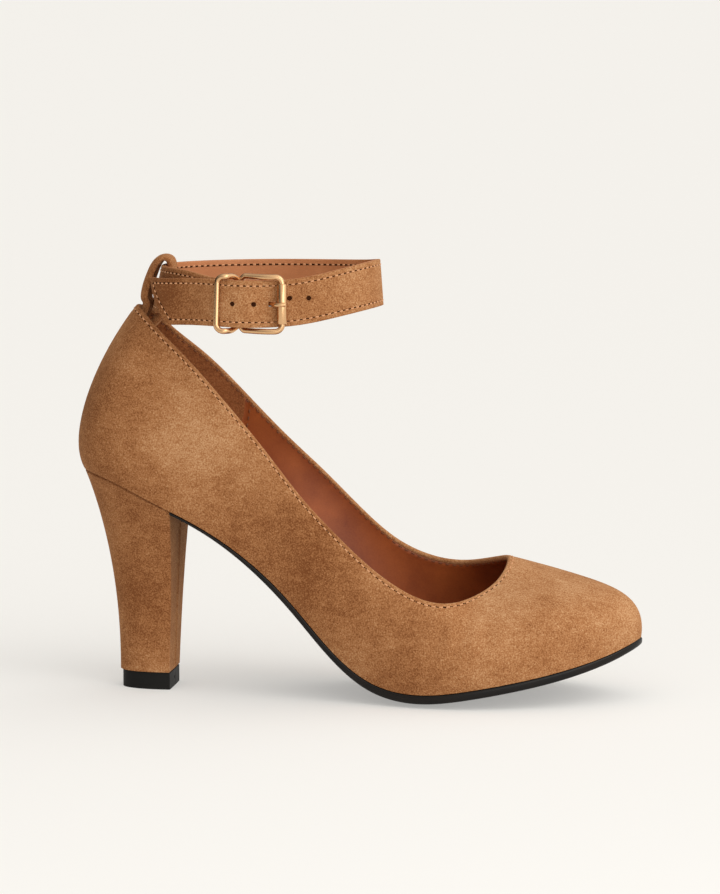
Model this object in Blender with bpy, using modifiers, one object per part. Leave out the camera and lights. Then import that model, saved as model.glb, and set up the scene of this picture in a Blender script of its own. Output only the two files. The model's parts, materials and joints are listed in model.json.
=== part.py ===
"""Right ankle strap pump: suede upper, covered heel, thin sole, back loop and buckled strap.

Metres, +Z up, +X toward the toe, -Y on the outer side of the foot. The origin is the centre
of the heel tip's ground face. Tables hold shares of the named sizes, one row for a station.
"""
from collections import namedtuple
from math import acos, cos, degrees, pi, radians, sin

import bmesh
import bpy
import numpy as np
from mathutils import Matrix, Vector

MM = 0.001

# Clearance between neighbouring pieces
GAP = 0.3 * MM

# Last and sole
LENGTH = 220.6 * MM
BALL_WIDTH = 73.7 * MM
HEEL_HEIGHT = 87.0 * MM
TOE_SPRING = 18.6 * MM
SEAT_SETBACK = 26.6 * MM
SOLE_THICKNESS = 3.3 * MM
SOLE_CROWN = 2.6 * MM
TREAD_FLAT = 0.9 * MM
SOLE_WELT = 0.4 * MM
SOLE_ROUNDING = 0.8 * MM
SOLE_SIDE_SHARE = 0.7
INSOLE_THICKNESS = 2.2 * MM

# Upper
WALL = 2.0 * MM
COUNTER_HEIGHT = 65.0 * MM
VAMP_HEIGHT = 30.0 * MM

# Heel
TIP_LENGTH = 20.2 * MM
TIP_WIDTH = 20.6 * MM
TIP_HEIGHT = 6.6 * MM
COVER_OVERHANG = 0.9 * MM
BREAST_AHEAD = 2.9 * MM
HEEL_INSET = 0.5 * MM
HEEL_FLARE = 2.2
HEEL_ROUNDNESS = 0.8
TIP_FRONT_SHARE = 0.43

# Ankle strap
STRAP_WIDTH = 18.0 * MM
STRAP_THICKNESS = 1.8 * MM
STRAP_LENGTH = 86.8 * MM
STRAP_BREADTH = 60.0 * MM
STRAP_AHEAD = 9.0 * MM
STRAP_LIFT = 6.3 * MM
TIP_SPRING = 2.6 * MM
FOLD_WIDTH = 14.4 * MM
FOLD_SHOULDER = 3.6 * MM
FOLD_WIDENING = 3.0 * MM

# Back loop
LOOP_WIDTH = 10.0 * MM
LOOP_THICKNESS = 2.4 * MM
LOOP_BOW = 2.1 * MM
LOOP_EASE = 1.0 * MM

# Buckle
WIRE = 2.2 * MM
ROLLER_WALL = 0.5 * MM
ROLLER_LENGTH = 15.4 * MM
FRAME_AHEAD = 16.8 * MM
FRAME_BEHIND = 6.8 * MM
FRAME_CORNER = 2.6 * MM
RAIL_PINCH = 1.8 * MM
PINCH_REACH = 2.3 * MM
BUCKLE_PLACE = 36.7 * MM
PRONG = 1.6 * MM
PRONG_HOLE = 12.4 * MM
HOLE_LENGTH = 3.6 * MM
SLOT_EASE = 0.4 * MM
SHANK_EASE = 0.1 * MM
STRAP_EASE = 0.35 * MM
FOLD_TAIL = 10.0 * MM
FOLD_END = 50.0
SPRING_START = -300.0
SLANT_START = -300.0
SLANT_TOP = -344.0
SLANT_BOTTOM = -320.0

# How finely each form is divided
STEPS_PER_ROW = 3
WALL_STEPS = 9
ACROSS_STEPS = 8
HEEL_STEPS = 9
FOLD_STEPS = 4
STRAP_STEP = 5.0
SLANT_STEPS = 6
LOOP_STEPS = 3
LOOP_SPREAD = [-1.0, -0.5, 0.0, 0.5, 1.0]
CORNER_STEPS = 3
ROLLER_SIDES = 16
EYE_STEPS = 8
EYE_START = 330.0
EYE_END = 90.0
SHARP_ANGLE = 40.0
SHANK_STEPS = 2

# Where the rails, the shank and the prong's end have points: shares of the frame's reach to
# each side of the centre bar, and degrees round the roller
RAIL_STOPS = [step * 1.1 * MM for step in (9, 6, 4, 3, 2, 1, 0, -1, -2, -3)]
SHANK_STOPS = [0.0, 0.15, 0.35, 0.56, 0.64]
ROLLER_TURNS = [190.0, 160.0, 130.0, 100.0, 70.0]

# The lasted edge, from the back of the seat to the toe's tip. along is a share of LENGTH,
# outer and inner of BALL_WIDTH, heel of the rise to the seat, toe of TOE_SPRING,
# crown of SOLE_CROWN and sole of SOLE_THICKNESS.
Edge = namedtuple("Edge", "along outer inner heel toe crown sole")
EDGE = [
    Edge(0.000, 0.000, 0.000, 1.000, 0.000, 0.0, 0.33),
    Edge(0.014, 0.129, 0.129, 0.995, 0.000, 0.3, 0.33),
    Edge(0.057, 0.244, 0.244, 0.968, 0.000, 0.7, 0.33),
    Edge(0.130, 0.316, 0.309, 0.885, 0.000, 0.9, 0.33),
    Edge(0.229, 0.342, 0.323, 0.757, 0.000, 0.8, 0.38),
    Edge(0.320, 0.349, 0.301, 0.592, 0.000, 0.6, 0.72),
    Edge(0.393, 0.360, 0.296, 0.405, 0.000, 0.5, 0.98),
    Edge(0.465, 0.385, 0.326, 0.188, 0.000, 0.6, 1.00),
    Edge(0.538, 0.427, 0.387, 0.043, 0.000, 0.9, 1.00),
    Edge(0.628, 0.486, 0.461, 0.000, 0.000, 1.0, 1.00),
    Edge(0.710, 0.501, 0.499, 0.000, 0.113, 1.0, 1.00),
    Edge(0.791, 0.459, 0.469, 0.000, 0.285, 0.9, 1.00),
    Edge(0.869, 0.371, 0.397, 0.000, 0.484, 0.7, 1.00),
    Edge(0.927, 0.262, 0.297, 0.000, 0.667, 0.5, 0.95),
    Edge(0.969, 0.146, 0.190, 0.000, 0.839, 0.3, 0.88),
    Edge(1.000, -0.027, 0.027, 0.000, 1.000, 0.0, 0.80),
]

# The topline over the same stations. fore blends the counter's height into the vamp's, and
# the rises are shares of that blend.
Top = namedtuple("Top", "along outer inner fore outer_rise inner_rise")
TOPLINE = [
    Top(0.098, 0.000, 0.000, 0.00, 1.000, 1.000),
    Top(0.114, 0.115, 0.115, 0.00, 0.975, 0.970),
    Top(0.148, 0.201, 0.201, 0.00, 0.909, 0.885),
    Top(0.202, 0.266, 0.266, 0.00, 0.852, 0.826),
    Top(0.275, 0.323, 0.323, 0.00, 0.758, 0.732),
    Top(0.347, 0.361, 0.361, 0.25, 0.795, 0.785),
    Top(0.411, 0.388, 0.385, 0.50, 0.899, 0.966),
    Top(0.479, 0.411, 0.405, 0.75, 1.164, 1.251),
    Top(0.547, 0.429, 0.420, 0.90, 1.307, 1.418),
    Top(0.619, 0.442, 0.427, 1.00, 1.267, 1.475),
    Top(0.669, 0.414, 0.393, 1.00, 1.117, 1.382),
    Top(0.705, 0.319, 0.305, 1.00, 1.043, 1.333),
    Top(0.735, 0.215, 0.220, 1.00, 1.020, 1.274),
    Top(0.752, 0.128, 0.145, 1.00, 1.017, 1.205),
    Top(0.760, 0.048, 0.085, 1.00, 1.010, 1.110),
    Top(0.762, -0.020, 0.020, 1.00, 0.980, 0.980),
]

# How the wall leaves the edge and reaches the topline: low_out and top_out are shares of
# BALL_WIDTH, low_up and top_down of the station's blended height.
Swell = namedtuple("Swell", "low_out low_up top_out top_down")
SWELL = [
    Swell(0.100, 0.200, 0.231, 0.331),
    Swell(0.095, 0.215, 0.197, 0.323),
    Swell(0.075, 0.246, 0.129, 0.308),
    Swell(0.054, 0.262, 0.081, 0.277),
    Swell(0.041, 0.231, 0.061, 0.246),
    Swell(0.041, 0.249, 0.041, 0.249),
    Swell(0.047, 0.274, 0.034, 0.274),
    Swell(0.054, 0.335, 0.034, 0.361),
    Swell(0.061, 0.388, 0.047, 0.418),
    Swell(0.068, 0.400, 0.068, 0.433),
    Swell(0.061, 0.433, 0.109, 0.367),
    Swell(0.054, 0.500, 0.170, 0.267),
    Swell(0.054, 0.720, 0.244, 0.210),
    Swell(0.054, 0.800, 0.312, 0.230),
    Swell(0.052, 0.800, 0.353, 0.265),
    Swell(0.042, 0.780, 0.366, 0.285),
]

# The ankle strap, angle by angle from its fold at the buckle, backward round the ankle and on
# to its free end. angle is in degrees from the back toward the outer side, lift a share of
# STRAP_WIDTH, lean the outward shift of its lower edge, the same share.
Round = namedtuple("Round", "angle lift lean")
STRAP_ROUND = [
    Round(100.0, -0.15, 0.06),
    Round(72.0, -0.13, 0.07),
    Round(50.0, -0.02, 0.12),
    Round(20.0, 0.01, 0.19),
    Round(0.0, 0.01, 0.21),
    Round(-30.0, 0.00, 0.16),
    Round(-90.0, 0.01, 0.08),
    Round(-150.0, 0.10, 0.09),
    Round(-180.0, 0.18, 0.07),
    Round(-225.0, 0.05, 0.08),
    Round(-255.0, -0.14, 0.05),
    Round(-275.0, -0.15, 0.06),
    Round(-300.0, -0.14, 0.10),
    Round(-350.0, -0.22, 0.15),
]

# The back loop's centre line in the shoe's middle plane, from inside the collar up outside
# the strap, over it and down again: shares of STRAP_WIDTH ahead of and above the strap's own
# centre line, and the share of LOOP_BOW there. Its two feet are laid on the lining.
LOOP_PATH = [
    (-0.325, -0.390, 1.0), (-0.365, -0.220, 1.0), (-0.340, -0.030, 1.0), (-0.275, 0.180, 1.0),
    (-0.160, 0.445, 0.9), (-0.045, 0.590, 0.7), (0.080, 0.655, 0.5), (0.205, 0.605, 0.4),
    (0.250, 0.430, 0.4), (0.220, 0.150, 0.4), (0.165, -0.183, 0.6), (0.070, -0.500, 0.9),
]
LOOP_FEET = [0.92, 0.84, 0.80]

# The colours, roughness and metallic value of each material
FINISHES = {
    "suede": ((0.43, 0.19, 0.085, 1.0), 0.95, 0.0),
    "lining": ((0.28, 0.085, 0.03, 1.0), 0.55, 0.0),
    "black_sole": ((0.012, 0.010, 0.009, 1.0), 0.45, 0.0),
    "black_tip": ((0.015, 0.014, 0.013, 1.0), 0.6, 0.0),
    "gold": ((0.80, 0.58, 0.25, 1.0), 0.25, 1.0),
}

ROWS = len(EDGE)
BALL_EDGE = SOLE_THICKNESS + GAP + SOLE_CROWN - TREAD_FLAT
TIP_FRONT = TIP_LENGTH * TIP_FRONT_SHARE
BREAST_TOP = TIP_FRONT + BREAST_AHEAD
STRAP_BACK = TOPLINE[0].along * LENGTH - SEAT_SETBACK + STRAP_AHEAD
OUTER, INNER = -1.0, 1.0


class ClosedSpline:
    """A smooth closed curve through rows of values at rising knots."""

    def __init__(self, knots, rows, period):
        self.knots = np.append(knots, period)
        self.rows = np.vstack([rows, rows[:1]])
        count = len(knots)
        steps = np.diff(self.knots)
        slopes = np.diff(self.rows, axis=0) / steps[:, None]
        system = np.zeros((count, count))
        for place in range(count):
            before = steps[place - 1]
            after = steps[place]
            system[place, place - 1] += before
            system[place, place] += 2.0 * (before + after)
            system[place, (place + 1) % count] += after
        bends = np.linalg.solve(system, 6.0 * (slopes - np.roll(slopes, 1, axis=0)))
        self.bends = np.vstack([bends, bends[:1]])

    def at(self, place):
        place = place % self.knots[-1]
        left = min(int(np.searchsorted(self.knots, place, side="right")) - 1, len(self.knots) - 2)
        step = self.knots[left + 1] - self.knots[left]
        b = (place - self.knots[left]) / step
        a = 1.0 - b
        bend = ((a ** 3 - a) * self.bends[left] + (b ** 3 - b) * self.bends[left + 1])
        return a * self.rows[left] + b * self.rows[left + 1] + bend * step * step / 6.0


def unit(vector):
    return vector / np.linalg.norm(vector)


def edge_point(row, side):
    """The lasted edge at a row of the table."""
    across = -row.outer if side == OUTER else row.inner
    height = BALL_EDGE + row.heel * (HEEL_HEIGHT - BALL_EDGE) + row.toe * TOE_SPRING
    return np.array([row.along * LENGTH - SEAT_SETBACK, across * BALL_WIDTH, height])


def blended_height(top):
    return COUNTER_HEIGHT + (VAMP_HEIGHT - COUNTER_HEIGHT) * top.fore


def top_point(row, top, side):
    """The topline over a row of the edge."""
    across = -top.outer if side == OUTER else top.inner
    rise = top.outer_rise if side == OUTER else top.inner_rise
    height = edge_point(row, side)[2] + rise * blended_height(top)
    return np.array([top.along * LENGTH - SEAT_SETBACK, across * BALL_WIDTH, height])


def row_distances():
    """Knots shared by both sides: mean distance along the edge from the back."""
    distances = [0.0]
    for before, after in zip(EDGE, EDGE[1:]):
        steps = [np.linalg.norm(edge_point(after, side) - edge_point(before, side))
                 for side in (OUTER, INNER)]
        distances.append(distances[-1] + sum(steps) / 2.0)
    return np.array(distances)


def outward_at(points, place):
    """The level direction that leaves a closed ring of points, which runs outer side first."""
    along = points[(place + 1) % len(points)] - points[place - 1]
    return unit(np.array([along[1], -along[0], 0.0]))


def ring_order():
    """Table rows and sides round the shoe: back, outer side, toe, inner side."""
    order = [(row, OUTER) for row in range(ROWS)]
    order += [(row, INNER) for row in range(ROWS - 2, 0, -1)]
    return order


def make_last():
    """The spline that gives edge, two wall handles and topline at any place round the shoe."""
    order = ring_order()
    edges = [edge_point(EDGE[row], side) for row, side in order]
    tops = [top_point(EDGE[row], TOPLINE[row], side) for row, side in order]
    values = []
    for place, (row, side) in enumerate(order):
        swell = SWELL[row]
        height = blended_height(TOPLINE[row])
        low = edges[place] + outward_at(edges, place) * swell.low_out * BALL_WIDTH
        low = low + np.array([0.0, 0.0, swell.low_up * height])
        high = tops[place] + outward_at(tops, place) * swell.top_out * BALL_WIDTH
        high = high - np.array([0.0, 0.0, swell.top_down * height])
        extra = [EDGE[row].crown * SOLE_CROWN, EDGE[row].sole * SOLE_THICKNESS]
        values.append(np.concatenate([edges[place], low, high, tops[place], extra]))
    distances = row_distances()
    period = 2.0 * distances[-1]
    knots = [distances[row] if side == OUTER else period - distances[row] for row, side in order]
    return ClosedSpline(np.array(knots), np.array(values), period)


LAST = make_last()
DISTANCES = row_distances()
PERIOD = 2.0 * DISTANCES[-1]


def place_of(row, side):
    """The place round the shoe of a whole or part row."""
    distance = float(np.interp(row, np.arange(ROWS), DISTANCES))
    return distance if side == OUTER else PERIOD - distance


def edge_at(row, side):
    return LAST.at(place_of(row, side))[0:3]


def wall_at(place, share):
    """A point of the upper's outer face: share runs from the edge to the topline."""
    values = LAST.at(place)
    edge, low, high, top = values[0:3], values[3:6], values[6:9], values[9:12]
    rest = 1.0 - share
    return (rest ** 3 * edge + 3.0 * rest * rest * share * low
            + 3.0 * rest * share * share * high + share ** 3 * top)


def wall_normal(place, share):
    """The outward direction of the upper's face."""
    step = 0.5 * MM
    lean = 0.01
    round_way = wall_at(place + step, share) - wall_at(place - step, share)
    up_way = wall_at(place, min(share + lean, 1.0)) - wall_at(place, max(share - lean, 0.0))
    return unit(np.cross(round_way, up_way))


def lining_at(place, share):
    """A point of the upper's inner face."""
    inner = wall_at(place, share) - wall_normal(place, share) * WALL
    if share == 0.0:
        inner[2] = wall_at(place, share)[2]
    return inner


def bottom_at(row, across, below, inset=0.0):
    """A point under the last: across runs from -1 on the outer edge to 1 on the inner edge."""
    outer = edge_at(row, OUTER)
    inner = edge_at(row, INNER)
    outward = {OUTER: edge_outward(row, OUTER), INNER: edge_outward(row, INNER)}
    outer = outer - outward[OUTER] * inset
    inner = inner - outward[INNER] * inset
    crown = LAST.at(place_of(row, OUTER))[12]
    share = (across + 1.0) / 2.0
    point = outer + (inner - outer) * share
    point[2] -= crown * (1.0 - across * across) + below
    return point


def edge_outward(row, side):
    step = 0.5 * MM
    place = place_of(row, side)
    along = LAST.at(place + step)[0:3] - LAST.at(place - step)[0:3]
    return unit(np.array([along[1], -along[0], 0.0]))


def row_at_length(ahead):
    """The part row whose edge lies at this distance along X."""
    low, high = 0.0, ROWS - 1.0
    for _ in range(40):
        middle = (low + high) / 2.0
        if edge_at(middle, OUTER)[0] < ahead:
            low = middle
        else:
            high = middle
    return low


def make_material(name):
    colour, roughness, metallic = FINISHES[name]
    material = bpy.data.materials.new(name)
    material.use_nodes = True
    shader = material.node_tree.nodes["Principled BSDF"]
    shader.inputs["Base Color"].default_value = colour
    shader.inputs["Roughness"].default_value = roughness
    shader.inputs["Metallic"].default_value = metallic
    material.diffuse_color = colour
    return material


def add_object(name, mesh, finish, collection):
    item = bpy.data.objects.new(name, mesh)
    mesh.materials.clear()
    mesh.materials.append(make_material(finish))
    collection.objects.link(item)
    return item


def mesh_from(name, points, faces, smooth=True):
    mesh = bpy.data.meshes.new(name)
    mesh.from_pydata([tuple(point) for point in points], [], faces)
    edit = bmesh.new()
    edit.from_mesh(mesh)
    bmesh.ops.recalc_face_normals(edit, faces=edit.faces)
    edit.to_mesh(mesh)
    edit.free()
    if smooth:
        mesh.shade_smooth()
        mesh.set_sharp_from_angle(angle=radians(SHARP_ANGLE))
    return mesh


def band(first, second):
    """Faces between two closed loops of vertex numbers."""
    count = len(first)
    return [(first[i], first[(i + 1) % count], second[(i + 1) % count], second[i])
            for i in range(count)]


def slab(name, rows, across, top, bottom, middle=()):
    """A closed solid between two patches of the same rows; middle gives its wall's loops."""
    points = []
    patches = []
    for surface in (top, bottom):
        patch = []
        for row in rows:
            spread = [0.0] if row in (0.0, ROWS - 1.0) else across
            patch.append(list(range(len(points), len(points) + len(spread))))
            points += [surface(row, v) for v in spread]
        patches.append(patch)
    faces = []
    for patch in patches:
        for first, second in zip(patch, patch[1:]):
            faces += strip(first, second)
    loops = [border(patches[0])]
    top_border = [points[number] for number in loops[0]]
    bottom_border = [points[number] for number in border(patches[1])]
    for shape in middle:
        loop = list(range(len(points), len(points) + len(top_border)))
        points += [shape(a, b) for a, b in zip(top_border, bottom_border)]
        loops.append(loop)
    loops.append(border(patches[1]))
    for first, second in zip(loops, loops[1:]):
        faces += band(first, second)
    return mesh_from(name, points, faces)


def strip(first, second):
    """Faces between two rows of a patch, either of which may be a single point."""
    if len(first) == 1:
        return [(first[0], a, b) for a, b in zip(second, second[1:])]
    if len(second) == 1:
        return [(a, b, second[0]) for a, b in zip(first, first[1:])]
    return [(first[i], first[i + 1], second[i + 1], second[i]) for i in range(len(first) - 1)]


def border(patch):
    """The vertex numbers round a patch."""
    loop = list(patch[0])
    loop += [row[-1] for row in patch[1:]]
    loop += list(reversed(patch[-1]))[1:] if len(patch[-1]) > 1 else []
    loop += [row[0] for row in reversed(patch[1:-1])]
    return loop


def spread_rows(first, last):
    """Part rows between two rows, with the table's own rows divided evenly."""
    rows = [first]
    for step in range(int(first * STEPS_PER_ROW) + 1, int(last * STEPS_PER_ROW) + 1):
        row = step / STEPS_PER_ROW
        if first + 0.1 < row:
            rows.append(row)
    if rows[-1] < last:
        rows.append(last)
    return rows


def across_shares():
    """Shares across a patch, closer together toward its edges."""
    return [-cos(pi * step / ACROSS_STEPS) for step in range(ACROSS_STEPS + 1)]


def make_upper(collection):
    """One hollow shell: outer face, topline rim, lining face and lasted rim."""
    rows = spread_rows(0.0, ROWS - 1.0)
    places = [place_of(row, OUTER) for row in rows]
    places += [place_of(row, INNER) for row in reversed(rows[1:-1])]
    shares = [step / WALL_STEPS for step in range(WALL_STEPS + 1)]
    points = []
    loops = []
    for surface, levels in ((wall_at, shares), (lining_at, list(reversed(shares)))):
        for share in levels:
            loops.append(list(range(len(points), len(points) + len(places))))
            points += [surface(place, share) for place in places]
    faces = []
    for first, second in zip(loops, loops[1:] + loops[:1]):
        faces += band(first, second)
    mesh = mesh_from("upper", points, faces)
    return add_object("upper", mesh, "suede", collection)


def make_insole(collection):
    """The padded sock, just inside the lasted edge."""
    inset = WALL + GAP

    def top(row, across):
        return bottom_at(row, across, -INSOLE_THICKNESS, inset)

    def bottom(row, across):
        return bottom_at(row, across, 0.0, inset)

    mesh = slab("insole", spread_rows(0.0, ROWS - 1.0), across_shares(), top, bottom)
    return add_object("insole", mesh, "lining", collection)


def sole_depth(row):
    return LAST.at(place_of(row, OUTER))[13]


def make_outsole(collection):
    """The thin sole from the heel's breast to the toe, with a rounded side and a flat tread."""
    breast = row_at_length(BREAST_TOP + GAP)
    welt = -SOLE_WELT

    def top(row, across):
        return bottom_at(row, across, GAP, welt)

    def bottom(row, across):
        point = bottom_at(row, across, GAP + sole_depth(row), welt + SOLE_ROUNDING)
        point[2] = max(point[2], 0.0)
        return point

    def side(above, below):
        corner = above.copy()
        corner[2] = above[2] + (below[2] - above[2]) * SOLE_SIDE_SHARE
        return corner

    mesh = slab("outsole", spread_rows(breast, ROWS - 1.0), across_shares(), top, bottom, [side])
    return add_object("outsole", mesh, "black_sole", collection)


def heel_foot(row, across, breast, grow):
    """The heel's rounded D at its foot, matched to a place on the seat."""
    turn = (row / breast) * pi / 2.0
    depth = (TIP_LENGTH + grow) * abs(cos(turn)) ** HEEL_ROUNDNESS
    reach = (TIP_WIDTH / 2.0 + grow) * abs(sin(turn)) ** HEEL_ROUNDNESS
    return np.array([TIP_FRONT - depth, across * reach, 0.0])


def make_heel(collection):
    """The covered heel: cupped under the seat, flat at its breast and flared at its back."""
    breast = row_at_length(BREAST_TOP)
    foot_height = TIP_HEIGHT + GAP

    def top(row, across):
        return bottom_at(row, across, GAP, HEEL_INSET)

    def bottom(row, across):
        point = heel_foot(row, across, breast, COVER_OVERHANG)
        point[2] = foot_height
        return point

    def side(drop):
        def shape(above, below):
            rise = 1.0 - drop
            flare = rise ** HEEL_FLARE
            point = below + (above - below) * flare
            on_breast = abs(above[0] - BREAST_TOP) < HEEL_INSET
            if on_breast:
                point[0] = below[0] + (above[0] - below[0]) * rise
            point[2] = below[2] + (above[2] - below[2]) * rise
            return point
        return shape

    middle = [side(step / HEEL_STEPS) for step in range(1, HEEL_STEPS)]
    mesh = slab("heel", spread_rows(0.0, breast), across_shares(), top, bottom, middle)
    return add_object("heel", mesh, "suede", collection)


def make_heel_tip(collection):
    """The top lift that stands on the floor."""
    breast = row_at_length(BREAST_TOP)

    def level(height):
        def surface(row, across):
            point = heel_foot(row, across, breast, 0.0)
            point[2] = height
            return point
        return surface

    mesh = slab("heel_tip", spread_rows(0.0, breast), across_shares(), level(TIP_HEIGHT), level(0.0))
    return add_object("heel_tip", mesh, "black_tip", collection)


def make_round():
    """The strap's lift and lean against the angle turned from its first row."""
    knots = [STRAP_ROUND[0].angle - row.angle for row in STRAP_ROUND]
    values = [[row.lift, row.lean] for row in STRAP_ROUND]
    return ClosedSpline(np.array(knots), np.array(values), knots[-1] + knots[1])


ROUND = make_round()
HALF_LENGTH = STRAP_LENGTH / 2.0
HALF_BREADTH = STRAP_BREADTH / 2.0
LAYER = STRAP_THICKNESS + GAP
FOLD_RADIUS = (WIRE + STRAP_THICKNESS) / 2.0 + GAP
ROLLER_BORE = WIRE / 2.0 + GAP
ROLLER_RADIUS = ROLLER_BORE + ROLLER_WALL
BAR_ANGLE = degrees(acos(1.0 - BUCKLE_PLACE / HALF_LENGTH))
FREE_BAR_ANGLE = BAR_ANGLE - 360.0


def ankle_point(angle, out=0.0, up=0.0):
    """A point of the strap's round: out from its middle face, up from its centre line."""
    turn = radians(angle)
    lift, lean = ROUND.at(STRAP_ROUND[0].angle - angle)
    normal = unit(np.array([-cos(turn) / HALF_LENGTH, -sin(turn) / HALF_BREADTH, 0.0]))
    point = np.array([STRAP_BACK + HALF_LENGTH * (1.0 - cos(turn)), -HALF_BREADTH * sin(turn), 0.0])
    point += normal * (out - up * lean)
    point[2] = edge_at(0.0, OUTER)[2] + COUNTER_HEIGHT + STRAP_LIFT + lift * STRAP_WIDTH + up
    return point


def angle_ahead(ahead):
    """The angle of a place this far from the centre bar, along the strap's free end."""
    return FREE_BAR_ANGLE + degrees(ahead / HALF_LENGTH)


def eased(share):
    share = min(max(share, 0.0), 1.0)
    return share * share * (3.0 - 2.0 * share)


def first_out(angle):
    """How far the first layer stands out, beside the fold and behind it."""
    return FOLD_RADIUS * eased((angle - FOLD_END) / (BAR_ANGLE - FOLD_END))


def free_out(angle):
    """How far the free end stands out: over the first layer, and under the outer bar."""
    if angle <= FREE_BAR_ANGLE:
        sprung = TIP_SPRING * eased((SPRING_START - angle) / (SPRING_START - SLANT_TOP))
        return first_out(angle + 360.0) + LAYER + sprung
    share = (angle - FREE_BAR_ANGLE) / (angle_ahead(FRAME_AHEAD) - FREE_BAR_ANGLE)
    return (FOLD_RADIUS + LAYER) * (1.0 - eased(share))


def half_width(angle):
    """Half the strap's width, which narrows to pass between the rails at its fold."""
    behind = radians(BAR_ANGLE - angle) * HALF_LENGTH
    widened = eased((behind - FOLD_SHOULDER) / FOLD_WIDENING)
    return (FOLD_WIDTH + (STRAP_WIDTH - FOLD_WIDTH) * widened) / 2.0


def strap_section(upper, lower, face, back, half=STRAP_WIDTH / 2.0):
    """Four corners from the edges' angles and the outs of the two faces."""
    return [ankle_point(upper, face, half), ankle_point(upper, back, half),
            ankle_point(lower, back, -half), ankle_point(lower, face, -half)]


def fold_section(turn):
    """A section of the fold, square to its arc round the centre bar."""
    half = FOLD_WIDTH / 2.0
    corners = []
    for radius, up in ((1.0, half), (-1.0, half), (-1.0, -half), (1.0, -half)):
        reach = FOLD_RADIUS + radius * STRAP_THICKNESS / 2.0
        corners.append(ankle_point(angle_ahead(reach * cos(turn)), reach * sin(turn), up))
    return corners


def strap_sections():
    """Sections from the folded tail, round the centre bar and the ankle, to the slanted tip."""
    thick = STRAP_THICKNESS / 2.0
    tail = BAR_ANGLE - degrees(FOLD_TAIL / HALF_LENGTH)
    sections = []
    for step in range(FOLD_STEPS):
        angle = tail + (BAR_ANGLE - tail) * step / FOLD_STEPS
        faces = (-FOLD_RADIUS - thick, -FOLD_RADIUS + thick)
        sections.append(strap_section(angle, angle, *faces, half_width(angle)))
    for step in range(2 * FOLD_STEPS + 1):
        sections.append(fold_section(-pi / 2.0 + pi * step / (2 * FOLD_STEPS)))
    whole = int((BAR_ANGLE + 180.0) / STRAP_STEP)
    for step in range(1, whole):
        angle = BAR_ANGLE - step * (BAR_ANGLE + 180.0) / whole
        out = first_out(angle)
        sections.append(strap_section(angle, angle, out + thick, out - thick, half_width(angle)))
    whole = int((-180.0 - SLANT_START) / STRAP_STEP)
    for step in range(whole):
        angle = -180.0 + step * (SLANT_START + 180.0) / whole
        out = free_out(angle)
        sections.append(strap_section(angle, angle, out + thick, out - thick))
    for step in range(SLANT_STEPS + 1):
        share = step / SLANT_STEPS
        upper = SLANT_START + (SLANT_TOP - SLANT_START) * share
        lower = SLANT_START + (SLANT_BOTTOM - SLANT_START) * share
        out = free_out(upper)
        section = strap_section(upper, lower, out + thick, out - thick)
        section[2:] = strap_section(lower, lower, free_out(lower) + thick, free_out(lower) - thick)[2:]
        sections.append(section)
    return sections


def swept(name, sections):
    """A closed solid through sections of equal point counts, with flat ends."""
    points = [point for section in sections for point in section]
    size = len(sections[0])
    loops = [list(range(i * size, (i + 1) * size)) for i in range(len(sections))]
    faces = [tuple(reversed(loops[0])), tuple(loops[-1])]
    for first, second in zip(loops, loops[1:]):
        faces += band(first, second)
    return mesh_from(name, points, faces)


def make_cutter(name, centre, ahead, outward, size, cutters):
    """A box that cuts a slot: size runs ahead, out and up."""
    bpy.ops.mesh.primitive_cube_add(size=1.0)
    box = bpy.context.object
    box.name = name
    box.data.transform(Matrix.Diagonal((*size, 1.0)))
    up = np.cross(ahead, outward)
    box.matrix_world = Matrix([(ahead[i], outward[i], up[i], centre[i]) for i in range(3)]
                              + [(0.0, 0.0, 0.0, 1.0)])
    for owner in list(box.users_collection):
        owner.objects.unlink(box)
    cutters.objects.link(box)
    hide(box)
    return box


def hide(item):
    item.hide_render = True
    item.display_type = "WIRE"


def cut(item, cutter, operation="DIFFERENCE"):
    change = item.modifiers.new(cutter.name, "BOOLEAN")
    change.operation = operation
    change.object = cutter


def bar_frame(ahead):
    """The place, forward direction and outward direction at a distance from the centre bar."""
    angle = angle_ahead(ahead)
    place = ankle_point(angle)
    forward = unit(ankle_point(angle + 1.0) - ankle_point(angle - 1.0))
    outward = unit(ankle_point(angle, MM) - place)
    forward = unit(forward - outward * forward.dot(outward))
    return place, forward, outward


def make_ankle_strap(collection, cutters):
    """One strap from its folded tail, round the ankle and out to its slanted tip."""
    strap = add_object("ankle_strap", swept("ankle_strap", strap_sections()), "suede", collection)
    place, forward, outward = bar_frame(0.0)
    reach = FOLD_RADIUS + STRAP_THICKNESS / 2.0 + GAP
    slot_size = (2.0 * reach, 2.0 * reach - GAP, PRONG + 2.0 * SLOT_EASE)
    cut(strap, make_cutter("prong_slot", place, forward, outward, slot_size, cutters))
    place, forward, outward = bar_frame(PRONG_HOLE)
    place = place + outward * free_out(angle_ahead(PRONG_HOLE))
    hole_size = (HOLE_LENGTH, 2.0 * STRAP_THICKNESS, PRONG + 2.0 * SLOT_EASE)
    cut(strap, make_cutter("prong_hole", place, forward, outward, hole_size, cutters))
    return strap


def smooth_path(points, steps):
    """Points on a Catmull-Rom curve through the given ones."""
    points = [np.array(point, dtype=float) for point in points]
    padded = [2.0 * points[0] - points[1]] + points + [2.0 * points[-1] - points[-2]]
    path = []
    for a, b, c, d in zip(padded, padded[1:], padded[2:], padded[3:]):
        for step in range(steps):
            t = step / steps
            path.append(0.5 * (2.0 * b + (c - a) * t + (2.0 * a - 5.0 * b + 4.0 * c - d) * t * t
                               + (3.0 * b - 3.0 * c + d - a) * t ** 3))
    return path + [points[-1]]


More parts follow.
